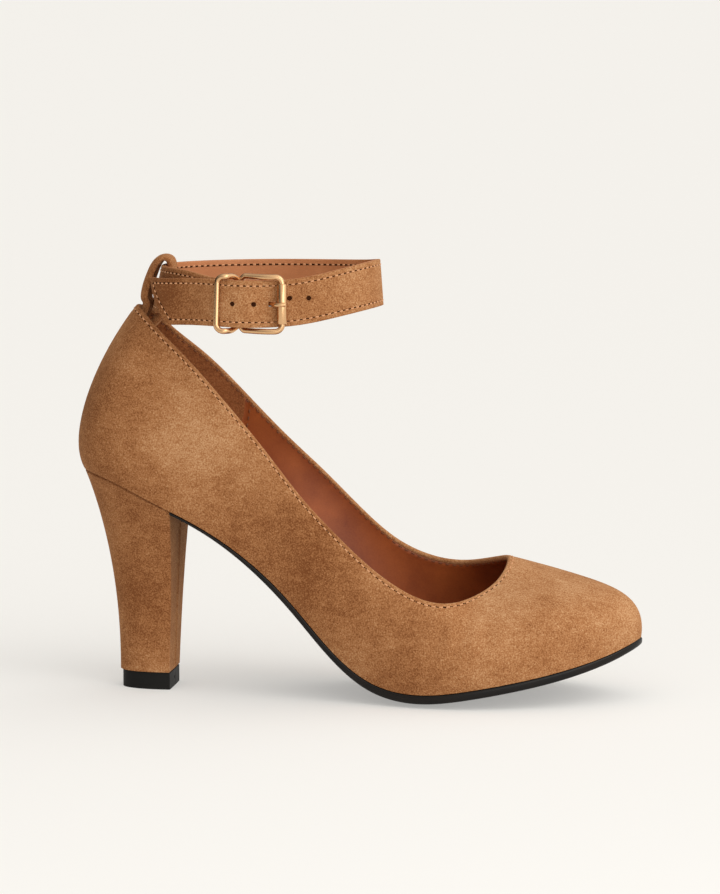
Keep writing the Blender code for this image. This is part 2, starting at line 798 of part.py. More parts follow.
def make_strap_loop(collection):
    """The keeper: a folded strip sewn inside the collar, up and over the strap."""
    middle = ankle_point(0.0)

    def foot(layer, share):
        depth = LOOP_THICKNESS / 2.0 + GAP + LOOP_EASE + layer * (LOOP_THICKNESS + GAP)
        place = lining_at(0.0, share) - wall_normal(0.0, share) * depth
        return place[0], place[2], 1.0

    free = [(middle[0] + ahead * STRAP_WIDTH, middle[2] + up * STRAP_WIDTH, bow)
            for ahead, up, bow in LOOP_PATH]
    feet = [foot(0, LOOP_FEET[1]), foot(0, LOOP_FEET[0]), foot(1, LOOP_FEET[1]), foot(1, LOOP_FEET[2])]
    path = smooth_path(feet[:2] + free + feet[2:], LOOP_STEPS)
    sections = []
    for number, point in enumerate(path):
        before = path[max(number - 1, 0)]
        after = path[min(number + 1, len(path) - 1)]
        along = unit(after - before)
        side = unit(np.array([along[1], -along[0]])) * LOOP_THICKNESS / 2.0
        section = []
        for face, spread in ((1.0, LOOP_SPREAD), (-1.0, LOOP_SPREAD[::-1])):
            for share in spread:
                ahead, up = point[:2] + side * face
                bow = LOOP_BOW * point[2] * share * share
                section.append(np.array([ahead + bow, share * LOOP_WIDTH / 2.0, up]))
        sections.append(section)
    return add_object("strap_loop", swept("strap_loop", sections), "suede", collection)


def wire_mesh(name, points, radius, closed, collection):
    """A round wire's mesh, made from a curve with a bevel."""
    curve = bpy.data.curves.new(name, "CURVE")
    curve.dimensions = "3D"
    curve.bevel_depth = radius
    curve.bevel_resolution = 2
    curve.use_fill_caps = True
    spline = curve.splines.new("POLY")
    spline.points.add(len(points) - 1)
    for spot, point in zip(spline.points, points):
        spot.co = (*point, 1.0)
    spline.use_cyclic_u = closed
    item = bpy.data.objects.new(name, curve)
    collection.objects.link(item)
    bpy.context.view_layer.update()
    mesh = bpy.data.meshes.new_from_object(item.evaluated_get(bpy.context.evaluated_depsgraph_get()))
    bpy.data.objects.remove(item, do_unlink=True)
    edit = bmesh.new()
    edit.from_mesh(mesh)
    bmesh.ops.remove_doubles(edit, verts=edit.verts, dist=0.001 * MM)
    bmesh.ops.recalc_face_normals(edit, faces=edit.faces)
    edit.to_mesh(mesh)
    edit.free()
    mesh.name = name
    mesh.shade_smooth()
    return mesh


def outer_bar_out():
    """The outer bar stands over the strap with its roller between."""
    return STRAP_THICKNESS / 2.0 + GAP + ROLLER_RADIUS


def inner_bar_out():
    """The bar behind the centre bar stands over both layers of the strap."""
    return free_out(angle_ahead(-FRAME_BEHIND)) + STRAP_THICKNESS / 2.0 + GAP + WIRE / 2.0


def rail_out(ahead):
    """The rails dip to the centre bar, behind the strap's faces."""
    if ahead >= 0.0:
        return outer_bar_out() * eased(ahead / (FRAME_AHEAD - FRAME_CORNER))
    return inner_bar_out() * eased(-ahead / (FRAME_BEHIND - FRAME_CORNER))


def rail_up(ahead):
    """The rails stand clear of the strap's edges and draw in at the centre bar."""
    half = STRAP_WIDTH / 2.0 + STRAP_EASE + WIRE / 2.0
    return half - RAIL_PINCH * (1.0 - eased(abs(ahead) / PINCH_REACH))


def make_buckle_frame(collection, cutters):
    """The closed wire frame with its centre bar."""
    half = rail_up(FRAME_AHEAD)
    outline = []
    corners = ((FRAME_AHEAD, 1.0, 0.0), (-FRAME_BEHIND, 1.0, 90.0),
               (-FRAME_BEHIND, -1.0, 180.0), (FRAME_AHEAD, -1.0, 270.0))
    for ahead, side, start in corners:
        centre_ahead = ahead - FRAME_CORNER if ahead > 0.0 else ahead + FRAME_CORNER
        centre_up = side * (half - FRAME_CORNER)
        for step in range(CORNER_STEPS + 1):
            turn = radians(start + 90.0 * step / CORNER_STEPS)
            outline.append((centre_ahead + FRAME_CORNER * cos(turn), centre_up + FRAME_CORNER * sin(turn)))
        if ahead * side > 0.0:
            stops = RAIL_STOPS if side > 0.0 else RAIL_STOPS[::-1]
            outline += [(stop, side * rail_up(stop)) for stop in stops]
    points = []
    for ahead, up in outline:
        out = rail_out(ahead)
        points.append(ankle_point(angle_ahead(ahead), out, up))
    frame = add_object("buckle_frame", wire_mesh("buckle_frame", points, WIRE / 2.0, True, cutters),
                       "gold", collection)
    ends = [ankle_point(FREE_BAR_ANGLE, 0.0, side * rail_up(0.0)) for side in (-1.0, 1.0)]
    bar = bpy.data.objects.new("centre_bar", wire_mesh("centre_bar", ends, WIRE / 2.0, False, cutters))
    cutters.objects.link(bar)
    hide(bar)
    cut(frame, bar, "UNION")
    return frame


def make_buckle_roller(collection):
    """The sleeve that turns on the outer bar."""
    profile = [(ROLLER_RADIUS, 0.5), (ROLLER_RADIUS, -0.5), (ROLLER_BORE, -0.5), (ROLLER_BORE, 0.5)]
    mesh = bpy.data.meshes.new("buckle_roller")
    points = [(radius, 0.0, share * ROLLER_LENGTH) for radius, share in profile]
    mesh.from_pydata(points, [(0, 1), (1, 2), (2, 3), (3, 0)], [])
    roller = add_object("buckle_roller", mesh, "gold", collection)
    turn = roller.modifiers.new("turned", "SCREW")
    turn.steps = turn.render_steps = ROLLER_SIDES
    turn.use_merge_vertices = True
    turn.merge_threshold = 0.001 * MM
    angle = angle_ahead(FRAME_AHEAD)
    out = outer_bar_out()
    axis = unit(ankle_point(angle, out, MM) - ankle_point(angle, out, -MM))
    roller.rotation_mode = "QUATERNION"
    roller.rotation_quaternion = Vector(axis).to_track_quat("Z", "Y")
    roller.location = Vector(ankle_point(angle, out))
    return roller


def make_buckle_prong(collection, cutters):
    """The prong: an eye round the centre bar, a shank under the strap, and its tip on the roller."""
    eye = (WIRE + PRONG) / 2.0 + GAP
    path = []
    for step in range(EYE_STEPS):
        turn = radians(EYE_START + (EYE_END - EYE_START) * step / EYE_STEPS)
        path.append((eye * cos(turn), eye * sin(turn)))
    under = (STRAP_THICKNESS + PRONG) / 2.0 + GAP
    shank = []
    for share in SHANK_STOPS:
        ahead = share * FRAME_AHEAD
        out = min(free_out(angle_ahead(ahead)) - under - SHANK_EASE, eye)
        shank.append((ahead, out))
    reach = ROLLER_RADIUS + GAP + PRONG / 2.0 + SHANK_EASE
    for turn in ROLLER_TURNS:
        shank.append((FRAME_AHEAD + reach * cos(radians(turn)),
                      outer_bar_out() + reach * sin(radians(turn))))
    path += smooth_path(shank, SHANK_STEPS)
    points = [ankle_point(angle_ahead(ahead), out) for ahead, out in path]
    mesh = wire_mesh("buckle_prong", points, PRONG / 2.0, False, cutters)
    return add_object("buckle_prong", mesh, "gold", collection)


def clear_scene():
    for item in list(bpy.data.objects):
        bpy.data.objects.remove(item, do_unlink=True)


def main():
    clear_scene()
    shoe = bpy.data.collections.new("ankle_strap_pump")
    bpy.context.scene.collection.children.link(shoe)
    cutters = bpy.data.collections.new("cutters")
    bpy.context.scene.collection.children.link(cutters)
    make_upper(shoe)
    make_insole(shoe)
    make_outsole(shoe)
    make_heel(shoe)
    make_heel_tip(shoe)
    make_strap_loop(shoe)
    make_ankle_strap(shoe, cutters)
    make_buckle_frame(shoe, cutters)
    make_buckle_roller(shoe)
    make_buckle_prong(shoe, cutters)


main()
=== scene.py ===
"""The ankle strap pump's looks: suede, lining, stitches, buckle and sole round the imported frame.

Metres, +Z up, +X toward the toe, -Y on the outer side. The last, the strap's round and the
loop's path repeat the part's own named sizes and tables, and everything else is laid on them.
"""
import json
from collections import namedtuple
from math import acos, cos, degrees, pi, radians, sin

import bmesh
import bpy
import numpy as np
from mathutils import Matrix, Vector, noise

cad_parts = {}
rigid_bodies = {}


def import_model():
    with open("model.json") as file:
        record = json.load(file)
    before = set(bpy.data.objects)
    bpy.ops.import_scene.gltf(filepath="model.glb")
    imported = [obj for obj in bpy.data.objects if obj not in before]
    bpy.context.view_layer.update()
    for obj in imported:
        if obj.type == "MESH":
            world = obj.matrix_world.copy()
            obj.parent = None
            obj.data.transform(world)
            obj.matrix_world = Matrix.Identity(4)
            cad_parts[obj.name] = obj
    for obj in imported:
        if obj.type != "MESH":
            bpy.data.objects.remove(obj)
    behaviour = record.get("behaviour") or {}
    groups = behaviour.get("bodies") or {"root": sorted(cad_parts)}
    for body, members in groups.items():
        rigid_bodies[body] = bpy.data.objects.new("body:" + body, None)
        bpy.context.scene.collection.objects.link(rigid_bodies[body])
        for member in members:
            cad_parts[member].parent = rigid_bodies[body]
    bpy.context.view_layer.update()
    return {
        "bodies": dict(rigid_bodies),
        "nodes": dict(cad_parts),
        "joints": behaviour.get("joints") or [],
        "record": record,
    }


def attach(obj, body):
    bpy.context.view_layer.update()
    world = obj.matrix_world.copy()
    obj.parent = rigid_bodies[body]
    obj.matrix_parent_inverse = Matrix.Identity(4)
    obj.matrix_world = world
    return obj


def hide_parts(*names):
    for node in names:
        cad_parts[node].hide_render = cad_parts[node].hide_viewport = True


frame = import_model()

MM = 0.001

# Clearance between neighbouring pieces
GAP = 0.3 * MM

# Last and sole
LENGTH = 220.6 * MM
BALL_WIDTH = 73.7 * MM
HEEL_HEIGHT = 87.0 * MM
TOE_SPRING = 18.6 * MM
SEAT_SETBACK = 26.6 * MM
SOLE_THICKNESS = 3.3 * MM
SOLE_CROWN = 2.6 * MM
TREAD_FLAT = 0.9 * MM
SOLE_WELT = 0.4 * MM
SOLE_ROUNDING = 0.8 * MM
INSOLE_THICKNESS = 2.2 * MM

# Upper
WALL = 2.0 * MM
COUNTER_HEIGHT = 65.0 * MM
VAMP_HEIGHT = 30.0 * MM

# Heel
TIP_LENGTH = 20.2 * MM
TIP_WIDTH = 20.6 * MM
TIP_HEIGHT = 6.6 * MM
COVER_OVERHANG = 0.9 * MM
BREAST_AHEAD = 2.9 * MM
HEEL_INSET = 0.5 * MM
HEEL_FLARE = 2.2
HEEL_ROUNDNESS = 0.8
TIP_FRONT_SHARE = 0.43

# Ankle strap
STRAP_WIDTH = 18.0 * MM
STRAP_THICKNESS = 1.8 * MM
STRAP_LENGTH = 86.8 * MM
STRAP_BREADTH = 60.0 * MM
STRAP_AHEAD = 9.0 * MM
STRAP_LIFT = 6.3 * MM
TIP_SPRING = 2.6 * MM
FOLD_WIDTH = 14.4 * MM
FOLD_SHOULDER = 3.6 * MM
FOLD_WIDENING = 3.0 * MM

# Back loop
LOOP_WIDTH = 10.0 * MM
LOOP_THICKNESS = 2.4 * MM
LOOP_BOW = 2.1 * MM
LOOP_EASE = 1.0 * MM

# Buckle
WIRE = 2.2 * MM
ROLLER_WALL = 0.5 * MM
ROLLER_LENGTH = 15.4 * MM
FRAME_AHEAD = 16.8 * MM
FRAME_BEHIND = 6.8 * MM
FRAME_CORNER = 2.6 * MM
RAIL_PINCH = 1.8 * MM
PINCH_REACH = 2.3 * MM
BUCKLE_PLACE = 36.7 * MM
PRONG = 1.6 * MM
PRONG_HOLE = 12.4 * MM
HOLE_LENGTH = 3.6 * MM
SLOT_EASE = 0.4 * MM
SHANK_EASE = 0.1 * MM
STRAP_EASE = 0.35 * MM
FOLD_TAIL = 10.0 * MM
FOLD_END = 50.0
SPRING_START = -300.0
SLANT_START = -300.0
SLANT_TOP = -344.0
SLANT_BOTTOM = -320.0

# The lasted edge, from the back of the seat to the toe's tip. along is a share of LENGTH,
# outer and inner of BALL_WIDTH, heel of the rise to the seat, toe of TOE_SPRING,
# crown of SOLE_CROWN and sole of SOLE_THICKNESS.
Edge = namedtuple("Edge", "along outer inner heel toe crown sole")
EDGE = [
    Edge(0.000, 0.000, 0.000, 1.000, 0.000, 0.0, 0.33),
    Edge(0.014, 0.129, 0.129, 0.995, 0.000, 0.3, 0.33),
    Edge(0.057, 0.244, 0.244, 0.968, 0.000, 0.7, 0.33),
    Edge(0.130, 0.316, 0.309, 0.885, 0.000, 0.9, 0.33),
    Edge(0.229, 0.342, 0.323, 0.757, 0.000, 0.8, 0.38),
    Edge(0.320, 0.349, 0.301, 0.592, 0.000, 0.6, 0.72),
    Edge(0.393, 0.360, 0.296, 0.405, 0.000, 0.5, 0.98),
    Edge(0.465, 0.385, 0.326, 0.188, 0.000, 0.6, 1.00),
    Edge(0.538, 0.427, 0.387, 0.043, 0.000, 0.9, 1.00),
    Edge(0.628, 0.486, 0.461, 0.000, 0.000, 1.0, 1.00),
    Edge(0.710, 0.501, 0.499, 0.000, 0.113, 1.0, 1.00),
    Edge(0.791, 0.459, 0.469, 0.000, 0.285, 0.9, 1.00),
    Edge(0.869, 0.371, 0.397, 0.000, 0.484, 0.7, 1.00),
    Edge(0.927, 0.262, 0.297, 0.000, 0.667, 0.5, 0.95),
    Edge(0.969, 0.146, 0.190, 0.000, 0.839, 0.3, 0.88),
    Edge(1.000, -0.027, 0.027, 0.000, 1.000, 0.0, 0.80),
]

# The topline over the same stations. fore blends the counter's height into the vamp's, and
# the rises are shares of that blend.
Top = namedtuple("Top", "along outer inner fore outer_rise inner_rise")
TOPLINE = [
    Top(0.098, 0.000, 0.000, 0.00, 1.000, 1.000),
    Top(0.114, 0.115, 0.115, 0.00, 0.975, 0.970),
    Top(0.148, 0.201, 0.201, 0.00, 0.909, 0.885),
    Top(0.202, 0.266, 0.266, 0.00, 0.852, 0.826),
    Top(0.275, 0.323, 0.323, 0.00, 0.758, 0.732),
    Top(0.347, 0.361, 0.361, 0.25, 0.795, 0.785),
    Top(0.411, 0.388, 0.385, 0.50, 0.899, 0.966),
    Top(0.479, 0.411, 0.405, 0.75, 1.164, 1.251),
    Top(0.547, 0.429, 0.420, 0.90, 1.307, 1.418),
    Top(0.619, 0.442, 0.427, 1.00, 1.267, 1.475),
    Top(0.669, 0.414, 0.393, 1.00, 1.117, 1.382),
    Top(0.705, 0.319, 0.305, 1.00, 1.043, 1.333),
    Top(0.735, 0.215, 0.220, 1.00, 1.020, 1.274),
    Top(0.752, 0.128, 0.145, 1.00, 1.017, 1.205),
    Top(0.760, 0.048, 0.085, 1.00, 1.010, 1.110),
    Top(0.762, -0.020, 0.020, 1.00, 0.980, 0.980),
]

# How the wall leaves the edge and reaches the topline: low_out and top_out are shares of
# BALL_WIDTH, low_up and top_down of the station's blended height.
Swell = namedtuple("Swell", "low_out low_up top_out top_down")
SWELL = [
    Swell(0.100, 0.200, 0.231, 0.331),
    Swell(0.095, 0.215, 0.197, 0.323),
    Swell(0.075, 0.246, 0.129, 0.308),
    Swell(0.054, 0.262, 0.081, 0.277),
    Swell(0.041, 0.231, 0.061, 0.246),
    Swell(0.041, 0.249, 0.041, 0.249),
    Swell(0.047, 0.274, 0.034, 0.274),
    Swell(0.054, 0.335, 0.034, 0.361),
    Swell(0.061, 0.388, 0.047, 0.418),
    Swell(0.068, 0.400, 0.068, 0.433),
    Swell(0.061, 0.433, 0.109, 0.367),
    Swell(0.054, 0.500, 0.170, 0.267),
    Swell(0.054, 0.720, 0.244, 0.210),
    Swell(0.054, 0.800, 0.312, 0.230),
    Swell(0.052, 0.800, 0.353, 0.265),
    Swell(0.042, 0.780, 0.366, 0.285),
]

# The ankle strap, angle by angle from its fold at the buckle, backward round the ankle and on
# to its free end. angle is in degrees from the back toward the outer side, lift a share of
# STRAP_WIDTH, lean the outward shift of its lower edge, the same share.
Round = namedtuple("Round", "angle lift lean")
STRAP_ROUND = [
    Round(100.0, -0.15, 0.06),
    Round(72.0, -0.13, 0.07),
    Round(50.0, -0.02, 0.12),
    Round(20.0, 0.01, 0.19),
    Round(0.0, 0.01, 0.21),
    Round(-30.0, 0.00, 0.16),
    Round(-90.0, 0.01, 0.08),
    Round(-150.0, 0.10, 0.09),
    Round(-180.0, 0.18, 0.07),
    Round(-225.0, 0.05, 0.08),
    Round(-255.0, -0.14, 0.05),
    Round(-275.0, -0.15, 0.06),
    Round(-300.0, -0.14, 0.10),
    Round(-350.0, -0.22, 0.15),
]

# The back loop's centre line in the shoe's middle plane, from inside the collar up outside
# the strap, over it and down again: shares of STRAP_WIDTH ahead of and above the strap's own
# centre line, and the share of LOOP_BOW there. Its two feet are laid on the lining.
LOOP_PATH = [
    (-0.325, -0.390, 1.0), (-0.365, -0.220, 1.0), (-0.340, -0.030, 1.0), (-0.275, 0.180, 1.0),
    (-0.160, 0.445, 0.9), (-0.045, 0.590, 0.7), (0.080, 0.655, 0.5), (0.205, 0.605, 0.4),
    (0.250, 0.430, 0.4), (0.220, 0.150, 0.4), (0.165, -0.183, 0.6), (0.070, -0.500, 0.9),
]
LOOP_FEET = [0.92, 0.84, 0.80]

ROWS = len(EDGE)
BALL_EDGE = SOLE_THICKNESS + GAP + SOLE_CROWN - TREAD_FLAT
TIP_FRONT = TIP_LENGTH * TIP_FRONT_SHARE
BREAST_TOP = TIP_FRONT + BREAST_AHEAD
STRAP_BACK = TOPLINE[0].along * LENGTH - SEAT_SETBACK + STRAP_AHEAD
OUTER, INNER = -1.0, 1.0


class ClosedSpline:
    """A smooth closed curve through rows of values at rising knots."""

    def __init__(self, knots, rows, period):
        self.knots = np.append(knots, period)
        self.rows = np.vstack([rows, rows[:1]])
        count = len(knots)
        steps = np.diff(self.knots)
        slopes = np.diff(self.rows, axis=0) / steps[:, None]
        system = np.zeros((count, count))
        for place in range(count):
            before = steps[place - 1]
            after = steps[place]
            system[place, place - 1] += before
            system[place, place] += 2.0 * (before + after)
            system[place, (place + 1) % count] += after
        bends = np.linalg.solve(system, 6.0 * (slopes - np.roll(slopes, 1, axis=0)))
        self.bends = np.vstack([bends, bends[:1]])

    def at(self, place):
        place = place % self.knots[-1]
        left = min(int(np.searchsorted(self.knots, place, side="right")) - 1, len(self.knots) - 2)
        step = self.knots[left + 1] - self.knots[left]
        b = (place - self.knots[left]) / step
        a = 1.0 - b
        bend = ((a ** 3 - a) * self.bends[left] + (b ** 3 - b) * self.bends[left + 1])
        return a * self.rows[left] + b * self.rows[left + 1] + bend * step * step / 6.0


def unit(vector):
    return vector / np.linalg.norm(vector)


def edge_point(row, side):
    """The lasted edge at a row of the table."""
    across = -row.outer if side == OUTER else row.inner
    height = BALL_EDGE + row.heel * (HEEL_HEIGHT - BALL_EDGE) + row.toe * TOE_SPRING
    return np.array([row.along * LENGTH - SEAT_SETBACK, across * BALL_WIDTH, height])


def blended_height(top):
    return COUNTER_HEIGHT + (VAMP_HEIGHT - COUNTER_HEIGHT) * top.fore


def top_point(row, top, side):
    """The topline over a row of the edge."""
    across = -top.outer if side == OUTER else top.inner
    rise = top.outer_rise if side == OUTER else top.inner_rise
    height = edge_point(row, side)[2] + rise * blended_height(top)
    return np.array([top.along * LENGTH - SEAT_SETBACK, across * BALL_WIDTH, height])


def row_distances():
    """Knots shared by both sides: mean distance along the edge from the back."""
    distances = [0.0]
    for before, after in zip(EDGE, EDGE[1:]):
        steps = [np.linalg.norm(edge_point(after, side) - edge_point(before, side))
                 for side in (OUTER, INNER)]
        distances.append(distances[-1] + sum(steps) / 2.0)
    return np.array(distances)


def outward_at(points, place):
    """The level direction that leaves a closed ring of points, which runs outer side first."""
    along = points[(place + 1) % len(points)] - points[place - 1]
    return unit(np.array([along[1], -along[0], 0.0]))


def ring_order():
    """Table rows and sides round the shoe: back, outer side, toe, inner side."""
    order = [(row, OUTER) for row in range(ROWS)]
    order += [(row, INNER) for row in range(ROWS - 2, 0, -1)]
    return order


def make_last():
    """The spline that gives edge, two wall handles and topline at any place round the shoe."""
    order = ring_order()
    edges = [edge_point(EDGE[row], side) for row, side in order]
    tops = [top_point(EDGE[row], TOPLINE[row], side) for row, side in order]
    values = []
    for place, (row, side) in enumerate(order):
        swell = SWELL[row]
        height = blended_height(TOPLINE[row])
        low = edges[place] + outward_at(edges, place) * swell.low_out * BALL_WIDTH
        low = low + np.array([0.0, 0.0, swell.low_up * height])
        high = tops[place] + outward_at(tops, place) * swell.top_out * BALL_WIDTH
        high = high - np.array([0.0, 0.0, swell.top_down * height])
        extra = [EDGE[row].crown * SOLE_CROWN, EDGE[row].sole * SOLE_THICKNESS]
        values.append(np.concatenate([edges[place], low, high, tops[place], extra]))
    distances = row_distances()
    period = 2.0 * distances[-1]
    knots = [distances[row] if side == OUTER else period - distances[row] for row, side in order]
    return ClosedSpline(np.array(knots), np.array(values), period)


LAST = make_last()
DISTANCES = row_distances()
PERIOD = 2.0 * DISTANCES[-1]


def place_of(row, side):
    """The place round the shoe of a whole or part row."""
    distance = float(np.interp(row, np.arange(ROWS), DISTANCES))
    return distance if side == OUTER else PERIOD - distance


def edge_at(row, side):
    return LAST.at(place_of(row, side))[0:3]


class Station:
    """The upper's curve from the lasted edge to the topline at one place round the shoe."""

    def __init__(self, place):
        self.place = place
        self.curves = [LAST.at(place + shift) for shift in (-0.5 * MM, 0.0, 0.5 * MM)]

    def on(self, share, curve=1):
        values = self.curves[curve]
        rest = 1.0 - share
        return (rest ** 3 * values[0:3] + 3.0 * rest * rest * share * values[3:6]
                + 3.0 * rest * share * share * values[6:9] + share ** 3 * values[9:12])

    def outward(self, share):
        round_way = self.on(share, 2) - self.on(share, 0)
        up_way = self.on(min(share + 0.01, 1.0)) - self.on(max(share - 0.01, 0.0))
        return unit(np.cross(round_way, up_way))

    def at(self, share, depth):
        """A point at this depth inside the outer face."""
        point = self.on(share) - self.outward(share) * depth
        if share == 0.0:
            point[2] = self.on(share)[2]
        return point

    def below_top(self, distance):
        """The share at this distance under the topline."""
        values = self.curves[1]
        return 1.0 - distance / (3.0 * np.linalg.norm(values[9:12] - values[6:9]))


def bottom_at(row, across, below, inset=0.0):
    """A point under the last: across runs from -1 on the outer edge to 1 on the inner edge."""
    outer = edge_at(row, OUTER)
    inner = edge_at(row, INNER)
    outward = {OUTER: edge_outward(row, OUTER), INNER: edge_outward(row, INNER)}
    outer = outer - outward[OUTER] * inset
    inner = inner - outward[INNER] * inset
    crown = LAST.at(place_of(row, OUTER))[12]
    share = (across + 1.0) / 2.0
    point = outer + (inner - outer) * share
    point[2] -= crown * (1.0 - across * across) + below
    return point


def edge_outward(row, side):
    step = 0.5 * MM
    place = place_of(row, side)
    along = LAST.at(place + step)[0:3] - LAST.at(place - step)[0:3]
    return unit(np.array([along[1], -along[0], 0.0]))


def row_at_length(ahead):
    """The part row whose edge lies at this distance along X."""
    low, high = 0.0, ROWS - 1.0
    for _ in range(40):
        middle = (low + high) / 2.0
        if edge_at(middle, OUTER)[0] < ahead:
            low = middle
        else:
            high = middle
    return low


def band(first, second):
    """Faces between two closed loops of vertex numbers."""
    count = len(first)
    return [(first[i], first[(i + 1) % count], second[(i + 1) % count], second[i])
            for i in range(count)]


def slab(name, rows, across, top, bottom, middle=()):
    """A closed solid between two patches of the same rows; middle gives its wall's loops."""
    points = []
    patches = []
    for surface in (top, bottom):
        patch = []
        for row in rows:
            spread = [0.0] if row in (0.0, ROWS - 1.0) else across
            patch.append(list(range(len(points), len(points) + len(spread))))
            points += [surface(row, v) for v in spread]
        patches.append(patch)
    faces = []
    for patch in patches:
        for first, second in zip(patch, patch[1:]):
            faces += strip(first, second)
    loops = [border(patches[0])]
    top_border = [points[number] for number in loops[0]]
    bottom_border = [points[number] for number in border(patches[1])]
    for shape in middle:
        loop = list(range(len(points), len(points) + len(top_border)))
        points += [shape(a, b) for a, b in zip(top_border, bottom_border)]
        loops.append(loop)
    loops.append(border(patches[1]))
    for first, second in zip(loops, loops[1:]):
        faces += band(first, second)
    return mesh_from(name, points, faces)


def strip(first, second):
    """Faces between two rows of a patch, either of which may be a single point."""
    if len(first) == 1:
        return [(first[0], a, b) for a, b in zip(second, second[1:])]
    if len(second) == 1:
        return [(a, b, second[0]) for a, b in zip(first, first[1:])]
    return [(first[i], first[i + 1], second[i + 1], second[i]) for i in range(len(first) - 1)]


def border(patch):
    """The vertex numbers round a patch."""
    loop = list(patch[0])
    loop += [row[-1] for row in patch[1:]]
    loop += list(reversed(patch[-1]))[1:] if len(patch[-1]) > 1 else []
    loop += [row[0] for row in reversed(patch[1:-1])]
    return loop


def spread_rows(first, last):
    """Part rows between two rows, with the table's own rows divided evenly."""
    rows = [first]
    for step in range(int(first * STEPS_PER_ROW) + 1, int(last * STEPS_PER_ROW) + 1):
        row = step / STEPS_PER_ROW
        if first + 0.1 < row:
            rows.append(row)
    if rows[-1] < last:
        rows.append(last)
    return rows


def across_shares():
    """Shares across a patch, closer together toward its edges."""
    return [-cos(pi * step / ACROSS_STEPS) for step in range(ACROSS_STEPS + 1)]


def sole_depth(row):
    return LAST.at(place_of(row, OUTER))[13]


def heel_foot(row, across, breast, grow):
    """The heel's rounded D at its foot, matched to a place on the seat."""
    turn = (row / breast) * pi / 2.0
    depth = (TIP_LENGTH + grow) * abs(cos(turn)) ** HEEL_ROUNDNESS
    reach = (TIP_WIDTH / 2.0 + grow) * abs(sin(turn)) ** HEEL_ROUNDNESS
    return np.array([TIP_FRONT - depth, across * reach, 0.0])


def make_round():
    """The strap's lift and lean against the angle turned from its first row."""
    knots = [STRAP_ROUND[0].angle - row.angle for row in STRAP_ROUND]
    values = [[row.lift, row.lean] for row in STRAP_ROUND]
    return ClosedSpline(np.array(knots), np.array(values), knots[-1] + knots[1])


ROUND = make_round()
HALF_LENGTH = STRAP_LENGTH / 2.0
HALF_BREADTH = STRAP_BREADTH / 2.0
LAYER = STRAP_THICKNESS + GAP
FOLD_RADIUS = (WIRE + STRAP_THICKNESS) / 2.0 + GAP
ROLLER_BORE = WIRE / 2.0 + GAP
ROLLER_RADIUS = ROLLER_BORE + ROLLER_WALL
BAR_ANGLE = degrees(acos(1.0 - BUCKLE_PLACE / HALF_LENGTH))
FREE_BAR_ANGLE = BAR_ANGLE - 360.0


def ankle_point(angle, out=0.0, up=0.0):
    """A point of the strap's round: out from its middle face, up from its centre line."""
    turn = radians(angle)
    lift, lean = ROUND.at(STRAP_ROUND[0].angle - angle)
    normal = unit(np.array([-cos(turn) / HALF_LENGTH, -sin(turn) / HALF_BREADTH, 0.0]))
    point = np.array([STRAP_BACK + HALF_LENGTH * (1.0 - cos(turn)), -HALF_BREADTH * sin(turn), 0.0])
    point += normal * (out - up * lean)
    point[2] = edge_at(0.0, OUTER)[2] + COUNTER_HEIGHT + STRAP_LIFT + lift * STRAP_WIDTH + up
    return point


def angle_ahead(ahead):
    """The angle of a place this far from the centre bar, along the strap's free end."""
    return FREE_BAR_ANGLE + degrees(ahead / HALF_LENGTH)


def eased(share):
    share = min(max(share, 0.0), 1.0)
    return share * share * (3.0 - 2.0 * share)


def first_out(angle):
    """How far the first layer stands out, beside the fold and behind it."""
    return FOLD_RADIUS * eased((angle - FOLD_END) / (BAR_ANGLE - FOLD_END))


def free_out(angle):
    """How far the free end stands out: over the first layer, and under the outer bar."""
    if angle <= FREE_BAR_ANGLE:
        sprung = TIP_SPRING * eased((SPRING_START - angle) / (SPRING_START - SLANT_TOP))
        return first_out(angle + 360.0) + LAYER + sprung
    share = (angle - FREE_BAR_ANGLE) / (angle_ahead(FRAME_AHEAD) - FREE_BAR_ANGLE)
    return (FOLD_RADIUS + LAYER) * (1.0 - eased(share))


def half_width(angle):
    """Half the strap's width, which narrows to pass between the rails at its fold."""
    behind = radians(BAR_ANGLE - angle) * HALF_LENGTH
    widened = eased((behind - FOLD_SHOULDER) / FOLD_WIDENING)
    return (FOLD_WIDTH + (STRAP_WIDTH - FOLD_WIDTH) * widened) / 2.0


def bar_frame(ahead):
    """The place, forward direction and outward direction at a distance from the centre bar."""
    angle = angle_ahead(ahead)
    place = ankle_point(angle)
    forward = unit(ankle_point(angle + 1.0) - ankle_point(angle - 1.0))
    outward = unit(ankle_point(angle, MM) - place)
    forward = unit(forward - outward * forward.dot(outward))
    return place, forward, outward


def smooth_path(points, steps):
    """Points on a Catmull-Rom curve through the given ones."""
    points = [np.array(point, dtype=float) for point in points]
    padded = [2.0 * points[0] - points[1]] + points + [2.0 * points[-1] - points[-2]]
    path = []
    for a, b, c, d in zip(padded, padded[1:], padded[2:], padded[3:]):
        for step in range(steps):
            t = step / steps
            path.append(0.5 * (2.0 * b + (c - a) * t + (2.0 * a - 5.0 * b + 4.0 * c - d) * t * t
                               + (3.0 * b - 3.0 * c + d - a) * t ** 3))
    return path + [points[-1]]


def outer_bar_out():
    """The outer bar stands over the strap with its roller between."""
    return STRAP_THICKNESS / 2.0 + GAP + ROLLER_RADIUS


def inner_bar_out():
    """The bar behind the centre bar stands over both layers of the strap."""
    return free_out(angle_ahead(-FRAME_BEHIND)) + STRAP_THICKNESS / 2.0 + GAP + WIRE / 2.0


def rail_out(ahead):
    """The rails dip to the centre bar, behind the strap's faces."""
    if ahead >= 0.0:
        return outer_bar_out() * eased(ahead / (FRAME_AHEAD - FRAME_CORNER))
    return inner_bar_out() * eased(-ahead / (FRAME_BEHIND - FRAME_CORNER))


